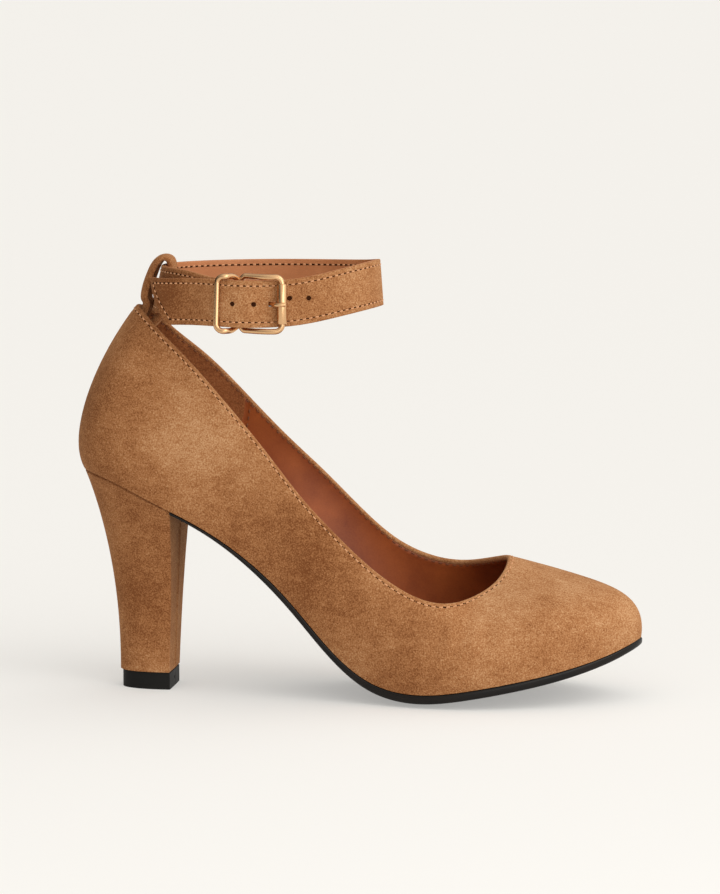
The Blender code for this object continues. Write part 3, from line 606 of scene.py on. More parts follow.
def rail_up(ahead):
    """The rails stand clear of the strap's edges and draw in at the centre bar."""
    half = STRAP_WIDTH / 2.0 + STRAP_EASE + WIRE / 2.0
    return half - RAIL_PINCH * (1.0 - eased(abs(ahead) / PINCH_REACH))


# How finely the visual forms are divided
STEPS_PER_ROW = 10
ACROSS_STEPS = 36
EYE_FINE_STEPS = 32
SHANK_FINE_STEPS = 8
EYE_START = 330.0
EYE_END = 90.0
SHANK_STOPS = [0.0, 0.15, 0.35, 0.56, 0.64]
ROLLER_TURNS = [190.0, 160.0, 130.0, 100.0, 70.0]
ROUND_PLACES = 420
SUEDE_LEVELS = 58
INNER_LEVELS = 26
RIM_STEPS = 8
HIDDEN_LEVELS = 12
CROSS_STEPS = 30
LOOP_SIDES = 48
ROLLER_SIDES = 48
CUTTER_SIDES = 24
HEEL_LEVELS = 40
STRAP_TURN = 1.2
SLANT_SECTIONS = 14
FOLD_SECTIONS = 24
LOOP_FINE_STEPS = 10
WIRE_FINENESS = 5
CORNER_FINENESS = 10
RAIL_FINENESS = 40
SHARP_ANGLE = 50.0

# How the upper is made up: a folded suede shell over a lining shell
SUEDE_DEPTH = 1.15 * MM
LINING_DEPTH = 1.2 * MM
FOLDED_BAND = 1.4 * MM
LINING_TOP = 1.55 * MM
LINING_ROUND = 0.25 * MM
SEAM_ROW = 4.05
SEAM_HALF = 0.45 * MM
SEAM_DEPTH = 0.35 * MM
SEAM_STITCH_GAP = 1.6 * MM

# How far the heel's covering tucks in under the upper, and the hem's and sole's roundings
TUCK = 0.8 * MM
HEM = 0.35 * MM
FRAY = 0.18 * MM
FRAY_FINENESS = 1400.0
HEM_SHARPNESS = 30
TUCK_SHARPNESS = 12
SOLE_LIP = 0.35 * MM

# The pin hole in the top lift, and the strap's face between suede and lining
PIN_HEIGHT = 3.4 * MM
PIN_RADIUS = 0.8 * MM
STRAP_SPLIT = -0.25 * MM
LAYER_GAP = 0.06 * MM

# Stitch rows
TOPLINE_ROW = 2.0 * MM
TOPLINE_PITCH = 2.9 * MM
TOPLINE_STITCH = 1.9 * MM
TOPLINE_SINK = 0.14 * MM
STRAP_ROW = 2.0 * MM
STRAP_PITCH = 2.5 * MM
STRAP_STITCH = 1.65 * MM
STRAP_SINK = 0.16 * MM
THREAD = 0.26 * MM
NEEDLE_HOLE = 0.52 * MM
STITCH_SIDES = 8
ROW_TOP = SLANT_TOP + 7.0
ROW_BOTTOM = SLANT_BOTTOM + 2.5

# How deep the bump of nap, pores and rubber grain stands
NAP_DEPTH = 0.25 * MM
PORE_DEPTH = 0.08 * MM
GRAIN_DEPTH = 0.06 * MM

# The room's light: the way its bright side lies, its level and colour, and the floor's glow
ROOM_BRIGHT_WAY = (0.74, -0.28, 0.61)
ROOM_BRIGHT = 1.22
ROOM_COLOUR = (1.0, 0.985, 0.955, 1.0)
GLOW = 0.35
GLOW_COLOUR = (1.0, 0.982, 0.948, 1.0)

# The camera's aim, distance, angles in degrees and lens, and where the lamps are aimed
CAMERA_AIM = (0.08327, 0.0, 0.0967)
CAMERA_DISTANCE = 1.8
CAMERA_AZIMUTH = 8.5
CAMERA_ELEVATION = 7.5
LENS = 185.14
LAMP_AIM = (0.08, 0.0, 0.06)

# The lamps: kind, place, size (an angle for the sun) and power
LAMPS = [("key", "SUN", (2.3, -1.1, 2.6), radians(34.0), 0.5),
         ("toe_side", "AREA", (0.78, -0.72, 0.34), 0.5, 1.5),
         ("low_fill", "AREA", (0.38, -0.95, 0.16), 0.5, 0.9)]

# Spots of painted shade and painted light on the suede, partly the nap's own brushed tone:
# place, reach and strength, chosen beside the photograph, so they hold its shading
SHADE_AND_LIGHT_SPOTS = [((0.004, 0.0, 0.050), 0.070, -0.22), ((-0.026, -0.004, 0.112), 0.050, -0.26),
             ((0.060, -0.034, 0.052), 0.042, -0.26), ((0.028, -0.030, 0.106), 0.034, 0.12),
             ((0.105, -0.036, 0.018), 0.042, -0.16), ((0.152, -0.010, 0.046), 0.040, 0.16),
             ((0.000, -0.028, 0.160), 0.040, -0.50), ((0.184, -0.014, 0.030), 0.024, 0.05)]


def mesh_from(name, points, faces):
    mesh = bpy.data.meshes.new(name)
    mesh.from_pydata([tuple(point) for point in points], [], faces)
    edit = bmesh.new()
    edit.from_mesh(mesh)
    bmesh.ops.recalc_face_normals(edit, faces=edit.faces)
    edit.to_mesh(mesh)
    edit.free()
    mesh.shade_smooth()
    mesh.set_sharp_from_angle(angle=radians(SHARP_ANGLE))
    return mesh


def place_in_scene(name, data):
    item = bpy.data.objects.new(name, data)
    bpy.context.scene.collection.objects.link(item)
    return item


def add_detail(mesh, material):
    """A small piece that rides on the shoe and stands for no CAD node."""
    piece = place_in_scene(mesh.name, mesh)
    mesh.materials.append(material)
    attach(piece, "root")
    return piece


def add_piece(mesh, material, node):
    """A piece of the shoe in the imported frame, standing for a CAD node."""
    piece = add_detail(mesh, material)
    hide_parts(node)
    return piece


def numbered_loops(count, size):
    """Vertex numbers of equal loops that follow one another."""
    return [list(range(i * size, (i + 1) * size)) for i in range(count)]


def round_stations():
    return [Station(PERIOD * step / ROUND_PLACES) for step in range(ROUND_PLACES)]


# Soft creases and dents of the worn-in suede: row, side, share up the wall, degrees from the
# shoe's length, and length, width and depth
Crease = namedtuple("Crease", "row side share turn length width depth")
CREASES = [
    Crease(9.6, OUTER, 0.62, 62.0, 9.0 * MM, 2.4 * MM, 0.22 * MM),
    Crease(10.1, OUTER, 0.55, 50.0, 11.0 * MM, 3.0 * MM, 0.26 * MM),
    Crease(10.7, OUTER, 0.50, 38.0, 8.0 * MM, 2.4 * MM, 0.18 * MM),
    Crease(9.5, INNER, 0.60, 60.0, 10.0 * MM, 2.6 * MM, 0.24 * MM),
    Crease(10.2, INNER, 0.52, 46.0, 10.0 * MM, 3.0 * MM, 0.24 * MM),
    Crease(3.4, OUTER, 0.45, 70.0, 12.0 * MM, 4.0 * MM, 0.16 * MM),
    Crease(3.6, INNER, 0.45, 66.0, 12.0 * MM, 4.0 * MM, 0.16 * MM),
    Crease(6.2, OUTER, 0.40, 20.0, 14.0 * MM, 4.5 * MM, 0.20 * MM),
    Crease(6.0, INNER, 0.42, 16.0, 14.0 * MM, 4.5 * MM, 0.20 * MM),
]


def crease_depth(place, share, height):
    """How far the creases and slow dents sink the suede here."""
    sink = 0.0
    for crease in CREASES:
        along = (place - place_of(crease.row, crease.side) + PERIOD / 2.0) % PERIOD - PERIOD / 2.0
        up = (share - crease.share) * height
        if abs(along) > 30.0 * MM or abs(up) > 30.0 * MM:
            continue
        turn = radians(crease.turn)
        with_it = (along * cos(turn) + up * sin(turn)) / crease.length
        across = (up * cos(turn) - along * sin(turn)) / crease.width
        fade = np.exp(-with_it ** 2)
        sink += crease.depth * fade * (np.exp(-across ** 2) - 0.45 * np.exp(-(abs(across) - 1.7) ** 2))
    return sink


def make_upper_suede(stations, material):
    """The outer shell: outer face, rolled topline, the turned-in band and the hidden back."""
    radius = WALL / 2.0
    profiles = []
    for station in stations:
        top_share = station.below_top(radius)
        height = np.linalg.norm(station.on(1.0) - station.on(0.0))
        line = []
        for step in range(SUEDE_LEVELS + 1):
            share = top_share * step / SUEDE_LEVELS
            rise = share * height
            ease = min(rise / (3.0 * MM), 1.0) * min((1.0 - share) * height / (4.0 * MM), 1.0)
            sink = crease_depth(station.place, share, height) * ease
            sink += groove(top_row_gap(station, share), 0.7 * MM, TOPLINE_SINK)
            line.append(station.at(share, sink))
        for step in range(1, RIM_STEPS + 1):
            turn = pi * step / RIM_STEPS
            share = station.below_top(radius - radius * sin(turn))
            line.append(station.at(share, radius - radius * cos(turn)))
        line.append(station.at(station.below_top(FOLDED_BAND), WALL))
        line.append(station.at(station.below_top(FOLDED_BAND + 0.1 * MM), SUEDE_DEPTH))
        for step in reversed(range(HIDDEN_LEVELS)):
            share = station.below_top(FOLDED_BAND) * step / HIDDEN_LEVELS
            line.append(station.at(share, SUEDE_DEPTH))
        profiles.append(line)
    return add_piece(ring_mesh("upper_suede", profiles), material, "upper")


def top_row_gap(station, share):
    """The distance from the topline's stitch row."""
    top, high = station.curves[1][9:12], station.curves[1][6:9]
    return (1.0 - share) * 3.0 * np.linalg.norm(top - high) - TOPLINE_ROW


def groove(distance, width, depth):
    return depth * np.exp(-(distance / width) ** 2)


def make_upper_lining(stations, smooth, napped):
    """The lining shell inside the collar, with its side seam and napped heel grip."""
    profiles = []
    seams = [place_of(SEAM_ROW, OUTER), place_of(SEAM_ROW, INNER)]
    for station in stations:
        seam = sum(groove(station.place - place, SEAM_HALF, SEAM_DEPTH) for place in seams)
        top_share = station.below_top(LINING_TOP)
        line = [station.at(top_share * step / HIDDEN_LEVELS, LINING_DEPTH) for step in range(HIDDEN_LEVELS)]
        line.append(station.at(station.below_top(LINING_TOP + LINING_ROUND), LINING_DEPTH))
        line.append(station.at(top_share, LINING_DEPTH + LINING_ROUND))
        line.append(station.at(top_share, WALL - LINING_ROUND - seam))
        for step in range(INNER_LEVELS + 1):
            share = station.below_top(LINING_TOP + LINING_ROUND) * (INNER_LEVELS - step) / INNER_LEVELS
            line.append(station.at(share, WALL - min(seam, share)))
        profiles.append(line)
    mesh = ring_mesh("upper_lining", profiles)
    piece = add_piece(mesh, smooth, "upper")
    mesh.materials.append(napped)
    behind = {index for index, station in enumerate(stations)
              if station.place < seams[0] or station.place > seams[1]}
    size = len(profiles[0])
    for face in mesh.polygons:
        if min(vertex // size for vertex in face.vertices) in behind:
            face.material_index = 1
    return piece


def ring_mesh(name, profiles):
    """A closed solid whose profile runs round a ring."""
    size = len(profiles[0])
    points = [point for line in profiles for point in line]
    loops = numbered_loops(len(profiles), size)
    faces = []
    for first, second in zip(loops, loops[1:] + loops[:1]):
        faces += band(first, second)
    return mesh_from(name, points, faces)


def make_insole_sock(material):
    inset = WALL + GAP
    rounding = 0.5 * MM

    def top(row, across):
        return bottom_at(row, across, -INSOLE_THICKNESS, inset + rounding)

    def bottom(row, across):
        return bottom_at(row, across, 0.0, inset)

    def side(turn):
        def shape(above, below):
            point = below + (above - below) * (1.0 - cos(turn))
            point[2] = below[2] + (above[2] - below[2]) * (0.7 + 0.3 * sin(turn))
            return point
        return shape

    middle = [side(pi / 2.0 * step / 4.0) for step in (3, 2, 1, 0)]
    mesh = slab("insole_sock", spread_rows(0.0, ROWS - 1.0), across_shares(), top, bottom, middle)
    return add_piece(mesh, material, "insole")


def make_outsole(material):
    breast = row_at_length(BREAST_TOP + GAP)
    welt = -SOLE_WELT

    def top(row, across):
        return bottom_at(row, across, GAP, welt + SOLE_LIP)

    def bottom(row, across):
        point = bottom_at(row, across, GAP + sole_depth(row), welt + SOLE_ROUNDING)
        point[2] = max(point[2], 0.0)
        return point

    def side(out_share, down_share):
        def shape(above, below):
            out = unit_level(above - below) * SOLE_LIP
            point = below + (above + out - below) * out_share
            point[2] = above[2] + (below[2] - above[2]) * down_share
            return point
        return shape

    middle = [side(0.7, 0.04), side(0.93, 0.12), side(1.0, 0.24), side(1.0, 0.45), side(0.98, 0.6),
              side(0.88, 0.74), side(0.66, 0.87), side(0.38, 0.96)]
    rows = spread_rows(breast, ROWS - 1.0)
    mesh = slab("outsole_edge", rows, across_shares(), top, bottom, middle)
    return add_piece(mesh, material, "outsole")


def unit_level(vector):
    level = np.array([vector[0], vector[1], 0.0])
    length = np.linalg.norm(level)
    return level / length if length > 0.0 else level


def make_heel_cover(material):
    """The covered heel, its breast joint and its slightly frayed hem."""
    breast = row_at_length(BREAST_TOP)
    foot_height = TIP_HEIGHT + GAP
    centre = np.array([TIP_FRONT - TIP_LENGTH / 2.0, 0.0, 0.0])
    seat_centre = np.array([BREAST_TOP, 0.0, 0.0])

    def top(row, across):
        return bottom_at(row, across, GAP, HEEL_INSET + TUCK)

    def bottom(row, across):
        point = heel_foot(row, across, breast, COVER_OVERHANG - HEM)
        point[2] = foot_height
        return point

    def side(drop):
        def shape(above, below):
            rise = 1.0 - drop
            on_breast = abs(above[0] - BREAST_TOP) < HEEL_INSET + TUCK
            if not on_breast:
                above = above + unit_level(above - seat_centre) * TUCK
            above = above - np.array([0.0, 0.0, TUCK * rise ** TUCK_SHARPNESS])
            below = below + unit_level(below - centre) * HEM
            point = below + (above - below) * rise ** HEEL_FLARE
            hem = (1.0 - rise) ** HEM_SHARPNESS
            fray = FRAY * noise.noise(Vector(below) * FRAY_FINENESS) * hem
            if on_breast:
                point[0] = below[0] + (above[0] - below[0]) * rise
                point[0] -= groove(point[1], 0.5 * MM, 0.45 * MM)
                point[0] += groove(abs(point[1]) - 1.3 * MM, 0.6 * MM, 0.22 * MM)
            point[2] = below[2] + (above[2] - below[2]) * rise + fray + 0.2 * MM * hem
            return point
        return shape

    joint_shares = [0.03 * step for step in (-4, -3, -2, -1, 1, 2, 3, 4)]
    shares = sorted(set(across_shares() + joint_shares))
    middle = [side(step / HEEL_LEVELS) for step in range(HEEL_LEVELS + 1)]
    mesh = slab("heel_cover", spread_rows(0.0, breast), shares, top, bottom, middle)
    return add_piece(mesh, material, "heel")


def make_top_lift(material):
    """The black lift under the heel, with rounded edges and a small hole in its front face."""
    breast = row_at_length(BREAST_TOP)
    rounding = 0.35 * MM
    centre = np.array([TIP_FRONT - TIP_LENGTH / 2.0, 0.0, 0.0])

    def level(height):
        def surface(row, across):
            point = heel_foot(row, across, breast, -rounding)
            point[2] = height
            return point
        return surface

    def side(turn, height):
        def shape(above, below):
            point = below + unit_level(below - centre) * rounding * sin(turn)
            point[2] = height
            return point
        return shape

    middle = [side(turn, TIP_HEIGHT - rounding * (1.0 - cos(pi / 2.0 - turn)))
              for turn in (0.5, 1.0, pi / 2.0)]
    middle += [side(turn, rounding * (1.0 - cos(pi / 2.0 - turn))) for turn in (pi / 2.0, 1.0, 0.5)]
    rows = spread_rows(0.0, breast)
    mesh = slab("top_lift", rows, across_shares(), level(TIP_HEIGHT), level(0.0), middle)
    piece = add_piece(mesh, material, "heel_tip")
    pin_start = np.array([TIP_FRONT - 3.0 * MM, 0.0, PIN_HEIGHT])
    pin = rod_between(pin_start, pin_start + np.array([5.0 * MM, 0.0, 0.0]), PIN_RADIUS)
    apply_boolean(piece, pin, "DIFFERENCE")
    return piece


def rod_between(start, end, radius, sides=CUTTER_SIDES):
    """A closed cylinder, for cutting a hole or filling its bottom."""
    axis = unit(end - start)
    aside = unit(np.cross(axis, np.array([0.3, 0.5, 0.8])))
    over = np.cross(axis, aside)
    points = []
    for place in (start, end):
        for step in range(sides):
            turn = 2.0 * pi * step / sides
            points.append(place + (aside * cos(turn) + over * sin(turn)) * radius)
    first, second = list(range(sides)), list(range(sides, 2 * sides))
    faces = [tuple(reversed(first)), tuple(second)] + band(first, second)
    return place_in_scene("cutter", mesh_from("cutter", points, faces))


def apply_boolean(piece, cutter, operation):
    """Joins or cuts with the scratch object, which is then gone."""
    change = piece.modifiers.new("cut", "BOOLEAN")
    change.operation = operation
    change.solver = "EXACT"
    change.object = cutter
    bpy.context.view_layer.update()
    result = bpy.data.meshes.new_from_object(piece.evaluated_get(bpy.context.evaluated_depsgraph_get()))
    result.name = piece.data.name
    piece.modifiers.clear()
    piece.data = result
    bpy.data.objects.remove(cutter, do_unlink=True)


def strap_profile(outer, inner, puffed):
    """The strap layer's cross-section: shares up the half width, and millimetres out."""
    half = STRAP_WIDTH / 2.0
    rounding = 0.4 * MM
    line = []
    for step in range(CROSS_STEPS + 1):
        up = (half - rounding) * (1.0 - 2.0 * step / CROSS_STEPS)
        sink = groove(half - abs(up) - STRAP_ROW, 0.6 * MM, STRAP_SINK) if puffed else 0.0
        line.append((up, outer - sink))
    corner = min(rounding, (outer - inner) / 2.0)
    turns = [(1.0 - sin(radians(turn)), 1.0 - cos(radians(turn))) for turn in (30.0, 60.0, 90.0)]
    line += [(-half + rounding * side, outer - corner * down) for side, down in turns]
    line += [(-half + rounding * side, inner + corner * down) for side, down in reversed(turns)]
    line += [((half - rounding) * (-1.0 + 2.0 * step / 10.0), inner) for step in range(11)]
    line += [(half - rounding * side, inner + corner * down) for side, down in turns]
    line += [(half - rounding * side, outer - corner * down) for side, down in reversed(turns)]
    return line


def strap_layer(name, profile):
    """One layer swept from its folded tail, round the ankle, to the slanted tip."""
    half = STRAP_WIDTH / 2.0
    tail = BAR_ANGLE - degrees(FOLD_TAIL / HALF_LENGTH)
    sections = []
    for step in range(10):
        angle = tail + (BAR_ANGLE - tail) * step / 10.0
        narrow = half_width(angle) / half
        sections.append([ankle_point(angle, -FOLD_RADIUS - out, up * narrow) for up, out in profile])
    for step in range(FOLD_SECTIONS + 1):
        turn = -pi / 2.0 + pi * step / FOLD_SECTIONS
        sections.append([ankle_point(angle_ahead((FOLD_RADIUS + out) * cos(turn)),
                                     (FOLD_RADIUS + out) * sin(turn), up * FOLD_WIDTH / STRAP_WIDTH)
                         for up, out in profile])
    for start, end, layer in ((BAR_ANGLE, -180.0, first_out), (-180.0, SLANT_START, free_out)):
        count = int((start - end) / STRAP_TURN)
        for step in range(1 if layer is first_out else 0, count):
            angle = start + (end - start) * step / count
            narrow = half_width(angle) / half if layer is first_out else 1.0
            sections.append([ankle_point(angle, layer(angle) + out, up * narrow) for up, out in profile])
    middle = sum(out for up, out in profile) / len(profile)
    slant = [(step / SLANT_SECTIONS, 1.0) for step in range(SLANT_SECTIONS)]
    for share, thin in slant + [(0.985, 1.0), (1.0, 0.5)]:
        upper = SLANT_START + (SLANT_TOP - SLANT_START) * share
        lower = SLANT_START + (SLANT_BOTTOM - SLANT_START) * share
        section = []
        for up, out in profile:
            angle = lower + (upper - lower) * (up + half) / (2.0 * half)
            section.append(ankle_point(angle, free_out(angle) + middle + (out - middle) * thin, up))
        sections.append(section)
    return swept(name, sections)


def swept(name, sections):
    """A closed solid through sections of equal point counts, with flat ends."""
    points = [point for section in sections for point in section]
    size = len(sections[0])
    loops = numbered_loops(len(sections), size)
    faces = [tuple(reversed(loops[0])), tuple(loops[-1])]
    for first, second in zip(loops, loops[1:]):
        faces += band(first, second)
    return mesh_from(name, points, faces)


# The punched holes along the free end, as distances ahead of the centre bar and up
PUNCHED = [(-1.3 * MM, 0.0), (6.3 * MM, 0.0), (19.8 * MM, 1.8 * MM), (27.4 * MM, 0.8 * MM)]
PUNCH_RADIUS = 0.95 * MM


def strap_cutters(punched):
    """Cutting solids for the prong's slot and hole, and for the holes punched in the suede."""
    cutters = []
    place, forward, outward = bar_frame(0.0)
    reach = FOLD_RADIUS + STRAP_THICKNESS / 2.0 + GAP
    slot_size = (2.0 * reach, 2.0 * reach - GAP, PRONG + 2.0 * SLOT_EASE)
    cutters.append(slot_cutter(place, forward, outward, slot_size))
    place, forward, outward = bar_frame(PRONG_HOLE)
    place = place + outward * free_out(angle_ahead(PRONG_HOLE)) + forward * 0.5 * MM
    hole_size = (HOLE_LENGTH - MM, 2.0 * STRAP_THICKNESS, PRONG + GAP)
    cutters.append(slot_cutter(place, forward, outward, hole_size))
    if punched:
        for middle, outward in punched_places():
            under = middle - outward * LAYER * 1.3
            cutters.append(rod_between(under, middle + outward * LAYER, PUNCH_RADIUS))
    return cutters


def punched_places():
    """The middle of the strap and its outward way at each punched hole."""
    places = []
    for ahead, up in PUNCHED:
        place, forward, outward = bar_frame(ahead)
        middle = place + outward * free_out(angle_ahead(ahead)) - np.cross(forward, outward) * up
        places.append((middle, outward))
    return places


def make_punched_hole_shade(material):
    """Dark discs a little below the suede's face in the punched holes, painted shade for their depth."""
    for number, (middle, outward) in enumerate(punched_places()):
        under = middle - outward * 0.2 * MM
        bottom = rod_between(under, middle + outward * 0.25 * MM, PUNCH_RADIUS * 0.94)
        bottom.name = "punched_hole_shade_" + str(number)
        bottom.data.materials.append(material)
        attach(bottom, "root")


def slot_cutter(place, forward, outward, size):
    up = np.cross(forward, outward)
    points = []
    for x in (-0.5, 0.5):
        for y, z in ((-0.5, -0.5), (0.5, -0.5), (0.5, 0.5), (-0.5, 0.5)):
            points.append(place + forward * x * size[0] + outward * y * size[1] + up * z * size[2])
    faces = [(3, 2, 1, 0), (4, 5, 6, 7)] + band([0, 1, 2, 3], [4, 5, 6, 7])
    return place_in_scene("cutter", mesh_from("cutter", points, faces))


def make_strap(suede, lining):
    thick = STRAP_THICKNESS / 2.0
    outer_mesh = strap_layer("strap_suede", strap_profile(thick, STRAP_SPLIT, True))
    outer = add_piece(outer_mesh, suede, "ankle_strap")
    inner_mesh = strap_layer("strap_lining", strap_profile(STRAP_SPLIT - LAYER_GAP, -thick, False))
    inner = add_piece(inner_mesh, lining, "ankle_strap")
    for piece in (outer, inner):
        for cutter in strap_cutters(piece is outer):
            apply_boolean(piece, cutter, "DIFFERENCE")
    return outer, inner


def loop_path():
    """The keeper's centre line, ahead and up, from foot to foot."""
    middle = ankle_point(0.0)
    sewn = LOOP_THICKNESS / 2.0 + GAP + LOOP_EASE

    back = Station(0.0)

    def foot(layer, share):
        inward = sewn + layer * (LOOP_THICKNESS + GAP)
        place = back.at(share, WALL) - back.outward(share) * inward
        return place[0], place[2], 1.0

    free = [(middle[0] + ahead * STRAP_WIDTH, middle[2] + up * STRAP_WIDTH, bow)
            for ahead, up, bow in LOOP_PATH]
    rear_foot = [foot(0, LOOP_FEET[1]), foot(0, LOOP_FEET[0])]
    front_foot = [foot(1, LOOP_FEET[1]), foot(1, LOOP_FEET[2])]
    return smooth_path(rear_foot + free + front_foot, LOOP_FINE_STEPS)


def make_loop(material):
    half = LOOP_WIDTH / 2.0
    thick = LOOP_THICKNESS / 2.0
    outline = []
    for step in range(LOOP_SIDES):
        turn = 2.0 * pi * step / LOOP_SIDES
        across = abs(cos(turn)) ** 0.45 * half * (1.0 if cos(turn) >= 0.0 else -1.0)
        out = abs(sin(turn)) ** 0.7 * thick * (1.0 if sin(turn) >= 0.0 else -1.0)
        outline.append((across, out))
    path = loop_path()
    sections = []
    for number, point in enumerate(path):
        before = path[max(number - 1, 0)]
        after = path[min(number + 1, len(path) - 1)]
        along = unit(after - before)
        side = unit(np.array([along[1], -along[0]]))
        section = []
        for across, out in outline:
            ahead, up = point[:2] + side * out
            bow = LOOP_BOW * point[2] * (across / half) ** 2
            section.append(np.array([ahead + bow, across, up]))
        sections.append(section)
    return add_piece(swept("keeper_loop", sections), material, "strap_loop")


def wire_mesh(name, points, radius, closed):
    curve = bpy.data.curves.new(name, "CURVE")
    curve.dimensions = "3D"
    curve.bevel_depth = radius
    curve.bevel_resolution = WIRE_FINENESS
    curve.use_fill_caps = True
    spline = curve.splines.new("POLY")
    spline.points.add(len(points) - 1)
    for spot, point in zip(spline.points, points):
        spot.co = (*point, 1.0)
    spline.use_cyclic_u = closed
    item = place_in_scene(name, curve)
    bpy.context.view_layer.update()
    mesh = bpy.data.meshes.new_from_object(item.evaluated_get(bpy.context.evaluated_depsgraph_get()))
    bpy.data.objects.remove(item, do_unlink=True)
    edit = bmesh.new()
    edit.from_mesh(mesh)
    bmesh.ops.remove_doubles(edit, verts=edit.verts, dist=0.001 * MM)
    bmesh.ops.recalc_face_normals(edit, faces=edit.faces)
    edit.to_mesh(mesh)
    edit.free()
    mesh.name = name
    mesh.shade_smooth()
    mesh.set_sharp_from_angle(angle=radians(SHARP_ANGLE))
    return mesh


def make_frame(material):
    """The closed wire frame, drawn in at its centre bar."""
    half = rail_up(FRAME_AHEAD)
    outline = []
    corners = ((FRAME_AHEAD, 1.0, 0.0), (-FRAME_BEHIND, 1.0, 90.0),
               (-FRAME_BEHIND, -1.0, 180.0), (FRAME_AHEAD, -1.0, 270.0))
    for ahead, side, start in corners:
        centre_ahead = ahead - FRAME_CORNER if ahead > 0.0 else ahead + FRAME_CORNER
        centre_up = side * (half - FRAME_CORNER)
        for step in range(CORNER_FINENESS + 1):
            turn = radians(start + 90.0 * step / CORNER_FINENESS)
            outline.append((centre_ahead + FRAME_CORNER * cos(turn), centre_up + FRAME_CORNER * sin(turn)))
        if ahead * side > 0.0:
            rear, front = FRAME_CORNER - FRAME_BEHIND, FRAME_AHEAD - FRAME_CORNER
            stops = np.linspace(front, rear, RAIL_FINENESS)[1:-1]
            outline += [(stop, side * rail_up(stop)) for stop in (stops if side > 0.0 else stops[::-1])]
    points = [ankle_point(angle_ahead(ahead), rail_out(ahead), up) for ahead, up in outline]
    frame = add_piece(wire_mesh("gold_frame", points, WIRE / 2.0, True), material, "buckle_frame")
    ends = [ankle_point(FREE_BAR_ANGLE, 0.0, side * rail_up(0.0)) for side in (-1.0, 1.0)]
    bar = place_in_scene("cutter", wire_mesh("cutter", ends, WIRE / 2.0, False))
    apply_boolean(frame, bar, "UNION")
    return frame


def make_roller(material):
    """The sleeve on the outer bar, with rounded ends."""
    angle = angle_ahead(FRAME_AHEAD)
    out = outer_bar_out()
    middle = ankle_point(angle, out)
    axis = unit(ankle_point(angle, out, MM) - ankle_point(angle, out, -MM))
    aside = unit(np.cross(axis, np.array([1.0, 0.0, 0.0])))
    over = np.cross(axis, aside)
    half = ROLLER_LENGTH / 2.0
    soft = ROLLER_WALL / 2.0
    tight = soft * 0.3
    profile = [(ROLLER_BORE, -half + soft), (ROLLER_BORE + tight, -half + tight), (ROLLER_BORE + soft, -half),
               (ROLLER_RADIUS - tight, -half + tight), (ROLLER_RADIUS, -half + soft)]
    profile += [(radius, -along) for radius, along in reversed(profile)]
    sides = ROLLER_SIDES
    profiles = []
    for step in range(sides):
        turn = 2.0 * pi * step / sides
        way = aside * cos(turn) + over * sin(turn)
        profiles.append([middle + way * radius + axis * along for radius, along in profile])
    return add_piece(ring_mesh("gold_roller", profiles), material, "buckle_roller")


def make_prong(material):
    eye = (WIRE + PRONG) / 2.0 + GAP
    path = []
    for step in range(EYE_FINE_STEPS):
        turn = radians(EYE_START + (EYE_END - EYE_START) * step / EYE_FINE_STEPS)
        path.append((eye * cos(turn), eye * sin(turn)))
    under = (STRAP_THICKNESS + PRONG) / 2.0 + GAP
    shank = []
    for share in SHANK_STOPS:
        ahead = share * FRAME_AHEAD
        out = min(free_out(angle_ahead(ahead)) - under - SHANK_EASE, eye)
        shank.append((ahead, out))
    reach = ROLLER_RADIUS + GAP + PRONG / 2.0 + SHANK_EASE
    for turn in ROLLER_TURNS:
        out = outer_bar_out() + reach * sin(radians(turn))
        shank.append((FRAME_AHEAD + reach * cos(radians(turn)), out))
    path += smooth_path(shank, SHANK_FINE_STEPS)
    points = [ankle_point(angle_ahead(ahead), out) for ahead, out in path]
    return add_piece(wire_mesh("gold_prong", points, PRONG / 2.0, False), material, "buckle_prong")


def stitches_along(points, normals, pitch, length):
    """Stitch centres, directions and outward normals, evenly spaced along a line."""
    points = np.array(points)
    normals = np.array(normals)
    steps = np.linalg.norm(np.diff(points, axis=0), axis=1)
    distance = np.concatenate([[0.0], np.cumsum(steps)])
    count = int(distance[-1] / pitch)
    found = []
    for number in range(count):
        middle = (number + 0.5) * distance[-1] / count
        ends = []
        for place in (middle - length / 2.0, middle, middle + length / 2.0):
            ends.append(np.array([np.interp(place, distance, points[:, axis]) for axis in range(3)]))
        normal = unit(np.array([np.interp(middle, distance, normals[:, axis]) for axis in range(3)]))
        found.append((ends[0], ends[1], ends[2], normal))
    return found


# A stitch's rings: place along its half length, and width and height in threads
STITCH_RINGS = [(-1.0, 0.0, -1.0), (-0.92, 0.62, -0.75), (-0.7, 0.95, -0.05), (-0.35, 1.0, 0.4),
                (0.0, 1.0, 0.55),
                (0.35, 1.0, 0.4), (0.7, 0.95, -0.05), (0.92, 0.62, -0.75), (1.0, 0.0, -1.0)]


def make_thread(name, rows, material):
    """Stitches as short threads whose ends dive into the leather."""
    points, faces = [], []
    sides = STITCH_SIDES
    for first, middle, last, normal in rows:
        along = unit(last - first)
        side = unit(np.cross(normal, along))
        rings = []
        for place, wide, high in STITCH_RINGS:
            centre = middle + (last - first) * place / 2.0 + normal * high * THREAD
            if wide == 0.0:
                rings.append([len(points)])
                points.append(centre)
                continue
            rings.append(list(range(len(points), len(points) + sides)))
            for step in range(sides):
                turn = 2.0 * pi * step / sides
                points.append(centre + (side * cos(turn) + normal * 0.8 * sin(turn)) * THREAD * wide)
        for a, b in zip(rings, rings[1:]):
            if len(a) == 1:
                faces += [(a[0], b[(i + 1) % sides], b[i]) for i in range(sides)]
            elif len(b) == 1:
                faces += [(a[i], a[(i + 1) % sides], b[0]) for i in range(sides)]
            else:
                faces += band(a, b)
    return add_detail(mesh_from(name, points, faces), material)


